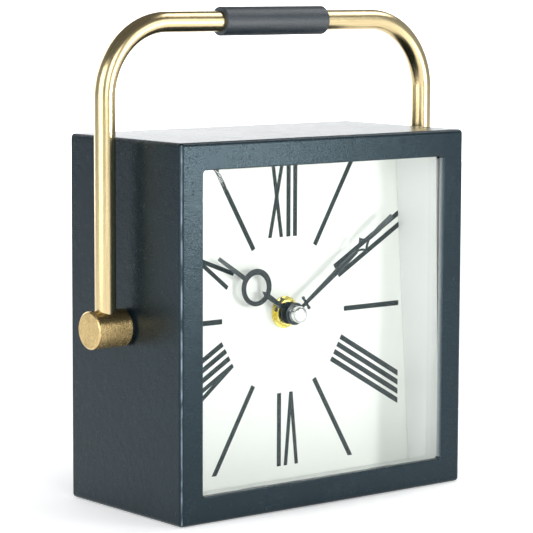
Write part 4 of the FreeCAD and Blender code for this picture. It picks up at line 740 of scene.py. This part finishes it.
def knob(side, node):
    """A turned pivot knob with a chamfer, fine tool grooves round it and faint rings on its face."""
    rim = KNOB_RADIUS - KNOB_CHAMFER
    shoulder, foot = KNOB_OUTSIDE - KNOB_CHAMFER, KNOB_INSIDE + KNOB_CHAMFER
    profile = [(KNOB_CENTRE, KNOB_OUTSIDE)]
    for i in range(1, FACE_RINGS):
        radius = KNOB_CENTRE + (rim - 0.5) * i / FACE_RINGS
        profile.append((radius, KNOB_OUTSIDE - (RING_DEPTH if i % 2 else 0.0)))
    profile += [(rim - 0.05, KNOB_OUTSIDE), (rim, KNOB_OUTSIDE - 0.03),
                (KNOB_RADIUS - 0.06, shoulder + 0.06), (KNOB_RADIUS, shoulder - 0.1)]
    for i in range(1, KNOB_GROOVES * 4):
        depth = (0.0, 0.25, 1.0, 0.25)[i % 4] * GROOVE_DEPTH
        profile.append((KNOB_RADIUS - depth, shoulder - 0.1 - i * GROOVE_PITCH / 4))
    profile += [(KNOB_RADIUS, foot + 0.1), (KNOB_RADIUS - 0.06, foot - 0.06),
                (rim, KNOB_INSIDE + 0.03), (rim - 0.05, KNOB_INSIDE), (KNOB_CENTRE, KNOB_INSIDE)]
    mesh = mesh_from(loft(turned_x([(r, side * x) for r, x in profile])))

    def grain(place, i):
        y, z = place.y, place.z - MIDDLE_HEIGHT * MM
        return (math.atan2(z, y) * (KNOB_RADIUS * MM), math.hypot(y, z), place.x)

    piece(node + "_turned", with_grain(mesh, grain), [node], KNOB_BRASS, smooth_angle=62.0)


# ---------------------------------------------------------------- dial fixing and cap
def washer():
    """The thin brass washer against the dial."""
    profile = [(BUSHING_RADIUS, DIAL_FACE), (BUSHING_RADIUS, WASHER_FRONT)]
    profile += [(WASHER_RADIUS - 0.25, WASHER_FRONT), (WASHER_RADIUS - 0.07, WASHER_FRONT + 0.07),
                (WASHER_RADIUS, WASHER_FRONT + 0.25), (WASHER_RADIUS, DIAL_FACE)]
    piece("washer_disc", mesh_from(loft(turned_y(profile), closed=True)), ["brass_washer"])


def nut():
    """A chamfered six-sided nut."""
    around = 120
    turns = [2 * math.pi * i / around for i in range(around)]

    def flat(turn):
        within = (turn + math.radians(30)) % math.radians(60) - math.radians(30)
        return NUT_HALF_FLATS / math.cos(within)

    def outline(limit, y):
        return [(min(flat(t), limit) * math.sin(t + math.radians(30)), y,
                 SHAFT_HEIGHT + min(flat(t), limit) * math.cos(t + math.radians(30))) for t in turns]

    def round_outline(radius, y):
        return [(radius * math.sin(t + math.radians(30)), y,
                 SHAFT_HEIGHT + radius * math.cos(t + math.radians(30))) for t in turns]

    start = NUT_HALF_FLATS - 0.15
    loops = [round_outline(BUSHING_RADIUS, WASHER_FRONT), outline(NUT_UNCUT, WASHER_FRONT)]
    for drop in NUT_CHAMFER_DROPS:
        loops.append(outline(start + drop * NUT_CHAMFER_SLOPE, NUT_FRONT + drop))
    loops += [round_outline(BUSHING_RADIUS + 0.3, NUT_FRONT),
              round_outline(BUSHING_RADIUS, NUT_FRONT + 0.3)]
    piece("fixing_nut", mesh_from(loft(loops, closed=True)), ["hex_nut"])


def bushing():
    """The threaded bushing: turns of thread on its outside, a smooth bore."""
    y1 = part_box("threaded_bushing")[1].y / MM
    profile = [(BUSHING_BORE, y1), (BUSHING_BORE, BUSHING_END + 0.1), (BUSHING_BORE + 0.1, BUSHING_END),
               (BUSHING_RADIUS - THREAD_DEPTH, BUSHING_END)]
    y = BUSHING_END + 0.15
    while y + THREAD_PITCH < y1 - 0.2:
        profile += [(BUSHING_RADIUS, y + 0.3 * THREAD_PITCH), (BUSHING_RADIUS, y + 0.42 * THREAD_PITCH),
                    (BUSHING_RADIUS - THREAD_DEPTH, y + 0.9 * THREAD_PITCH)]
        y += THREAD_PITCH
    profile += [(BUSHING_RADIUS - THREAD_DEPTH, y1)]
    piece("bushing_thread", mesh_from(loft(turned_y(profile), closed=True)), ["threaded_bushing"])


def cap():
    """The domed cap nut with a thin foot."""
    profile = [(ARBOR_RADIUS, CAP_BASE), (CAP_RADIUS - 0.15, CAP_BASE), (CAP_RADIUS, CAP_BASE - 0.15),
               (CAP_RADIUS, CAP_BASE - 0.5), (CAP_RADIUS - 0.12, CAP_BASE - 0.6),
               (CAP_RADIUS - 0.12, CAP_BASE - 0.75), (CAP_RADIUS, CAP_BASE - 0.85), (CAP_RADIUS, CAP_RIM)]
    for s, c in arc(14)[1:-1]:
        profile.append((CAP_FLAT + (CAP_RADIUS - CAP_FLAT) * c, CAP_RIM - (CAP_RIM - CAP_FRONT - 0.1) * s))
    profile += [(CAP_FLAT * 0.6, CAP_FRONT + 0.03), (0.15, CAP_FRONT)]
    bm = loft(turned_y(profile))
    piece("cap_dome", mesh_from(bm), ["cap_nut"])


# CAD shapes that only get softer edges, and how wide the bevel is.
SOFT_EDGES = (
    ("hour_hand", 0.09), ("minute_hand", 0.09), ("back_panel", 0.2), ("access_door", 0.2),
    ("door_pull", 0.1), ("hinge_leaf", 0.12), ("hinge_rivets", 0.15), ("back_screws", 0.12),
    ("movement_housing", 0.25), ("movement_cover", 0.25), ("setting_knob", 0.12),
    ("dial_brackets", 0.2), ("pivot_bushes", 0.15), ("pivot_doublers", 0.2), ("lock_nuts", 0.25),
    ("pivot_studs", 0.2), ("dial_nuts", 0.2), ("dial_plate", 0.1),
)

case()
glass()
handle_tube()
grip()
knob(-1, "left_pivot_knob")
knob(1, "right_pivot_knob")
washer()
nut()
bushing()
cap()
for node, width in SOFT_EDGES:
    eased(node, width)
eased("glass_clips", 0.1, tuck_tongues)
eased("face_liner", 0.12, card_lip)

for node, shape in frame["nodes"].items():
    if shape.hide_render:
        continue
    shape.data.materials.clear()
    shape.data.materials.append(FINISHES[node_slot[node]])


# ---------------------------------------------------------------- floor, light and camera
def stage_sheet(name, line, sides, glow):
    """A pale sheet over a line of (depth, height) points, with painted light: it glows less close to the
    clock, a painted contact shadow, and less far off, a painted falloff.
    """
    bm = bmesh.new()
    rows = [[bm.verts.new((x, y, z)) for x in sides] for y, z in line]
    for first, second in zip(rows, rows[1:]):
        bm.faces.new((first[0], first[1], second[1], second[0]))
    mesh = bpy.data.meshes.new(name)
    bm.to_mesh(mesh)
    bm.free()
    sheet = bpy.data.objects.new(name, mesh)
    scene.collection.objects.link(sheet)
    p = Paint(name + "_paper")
    x, y = p.split(p.place())[:2]
    away = (x * x + y * y) ** 0.5
    far, past_contact_shadow = away.stretched(*GLOW_FADES), away.stretched(*GLOW_STARTS)
    tooth = p.noise(p.place(), 300.0, 2.0)
    colour = p.blend(tooth, (0.92, 0.92, 0.92), (0.94, 0.94, 0.94))
    beyond = p.blend(far, (glow,) * 3, (glow * FAR_GLOW_SHARE,) * 3)
    # painted contact shadow close to the clock and painted falloff far off, in the sheet's glow
    light = p.blend(past_contact_shadow, (glow * CONTACT_SHADOW_GLOW_SHARE,) * 3, beyond)
    mesh.materials.append(p.finish(colour, 0.9, Specular_IOR_Level=0.1, Emission_Color=light,
                                   Emission_Strength=1.0))


def panel_light(name, place, aim, size, power):
    light = bpy.data.lights.new(name, "AREA")
    light.shape = "RECTANGLE"
    light.size, light.size_y = size
    light.energy = power
    lamp = bpy.data.objects.new(name, light)
    lamp.location = place
    lamp.rotation_euler = (Vector(aim) - Vector(place)).to_track_quat("-Z", "Y").to_euler()
    scene.collection.objects.link(lamp)


def studio_air():
    """The room: pale round the horizon and dark overhead."""
    world = bpy.data.worlds.new("studio_air")
    scene.world = world
    world.use_nodes = True
    tree = world.node_tree
    tree.nodes.clear()
    where = tree.nodes.new("ShaderNodeTexCoord")
    parts = tree.nodes.new("ShaderNodeSeparateXYZ")
    ramp = tree.nodes.new("ShaderNodeValToRGB")
    low, high = ramp.color_ramp.elements
    low.position, low.color = AIR_HORIZON_TOP, (*AIR_HORIZON, 1)
    high.position, high.color = AIR_DARK_FROM, (*AIR_OVERHEAD, 1)
    ground = tree.nodes.new("ShaderNodeBackground")
    output = tree.nodes.new("ShaderNodeOutputWorld")
    for a, b in ((where.outputs["Generated"], parts.inputs[0]), (parts.outputs[2], ramp.inputs[0]),
                 (ramp.outputs[0], ground.inputs[0]), (ground.outputs[0], output.inputs[0])):
        tree.links.new(a, b)


def camera():
    a, e, r = (math.radians(v) for v in (CAMERA_AZIMUTH, CAMERA_HEIGHT_ANGLE, CAMERA_ROLL))
    back = Vector((math.sin(a) * math.cos(e), -math.cos(a) * math.cos(e), math.sin(e)))
    right = Vector((math.cos(a), math.sin(a), 0.0))
    up = back.cross(right)
    right, up = (math.cos(r) * right + math.sin(r) * up, math.cos(r) * up - math.sin(r) * right)
    data = bpy.data.cameras.new("camera")
    data.sensor_width, data.lens = CAMERA_SENSOR, CAMERA_LENS
    data.clip_start, data.clip_end = 0.05, 50.0
    view = bpy.data.objects.new("camera", data)
    turn = Matrix((right, up, back)).transposed().to_4x4()
    view.matrix_world = Matrix.Translation(Vector(CAMERA_PLACE) * MM) @ turn
    scene.collection.objects.link(view)
    scene.camera = view


stage_sheet("studio_floor", FLOOR_LINE, FLOOR_SIDES, FLOOR_GLOW)
stage_sheet("studio_backdrop", BACKDROP_LINE, BACKDROP_SIDES, BACKDROP_GLOW)
studio_air()
for panel in PANELS:
    panel_light(*panel)
camera()
scene.view_settings.view_transform = "Standard"
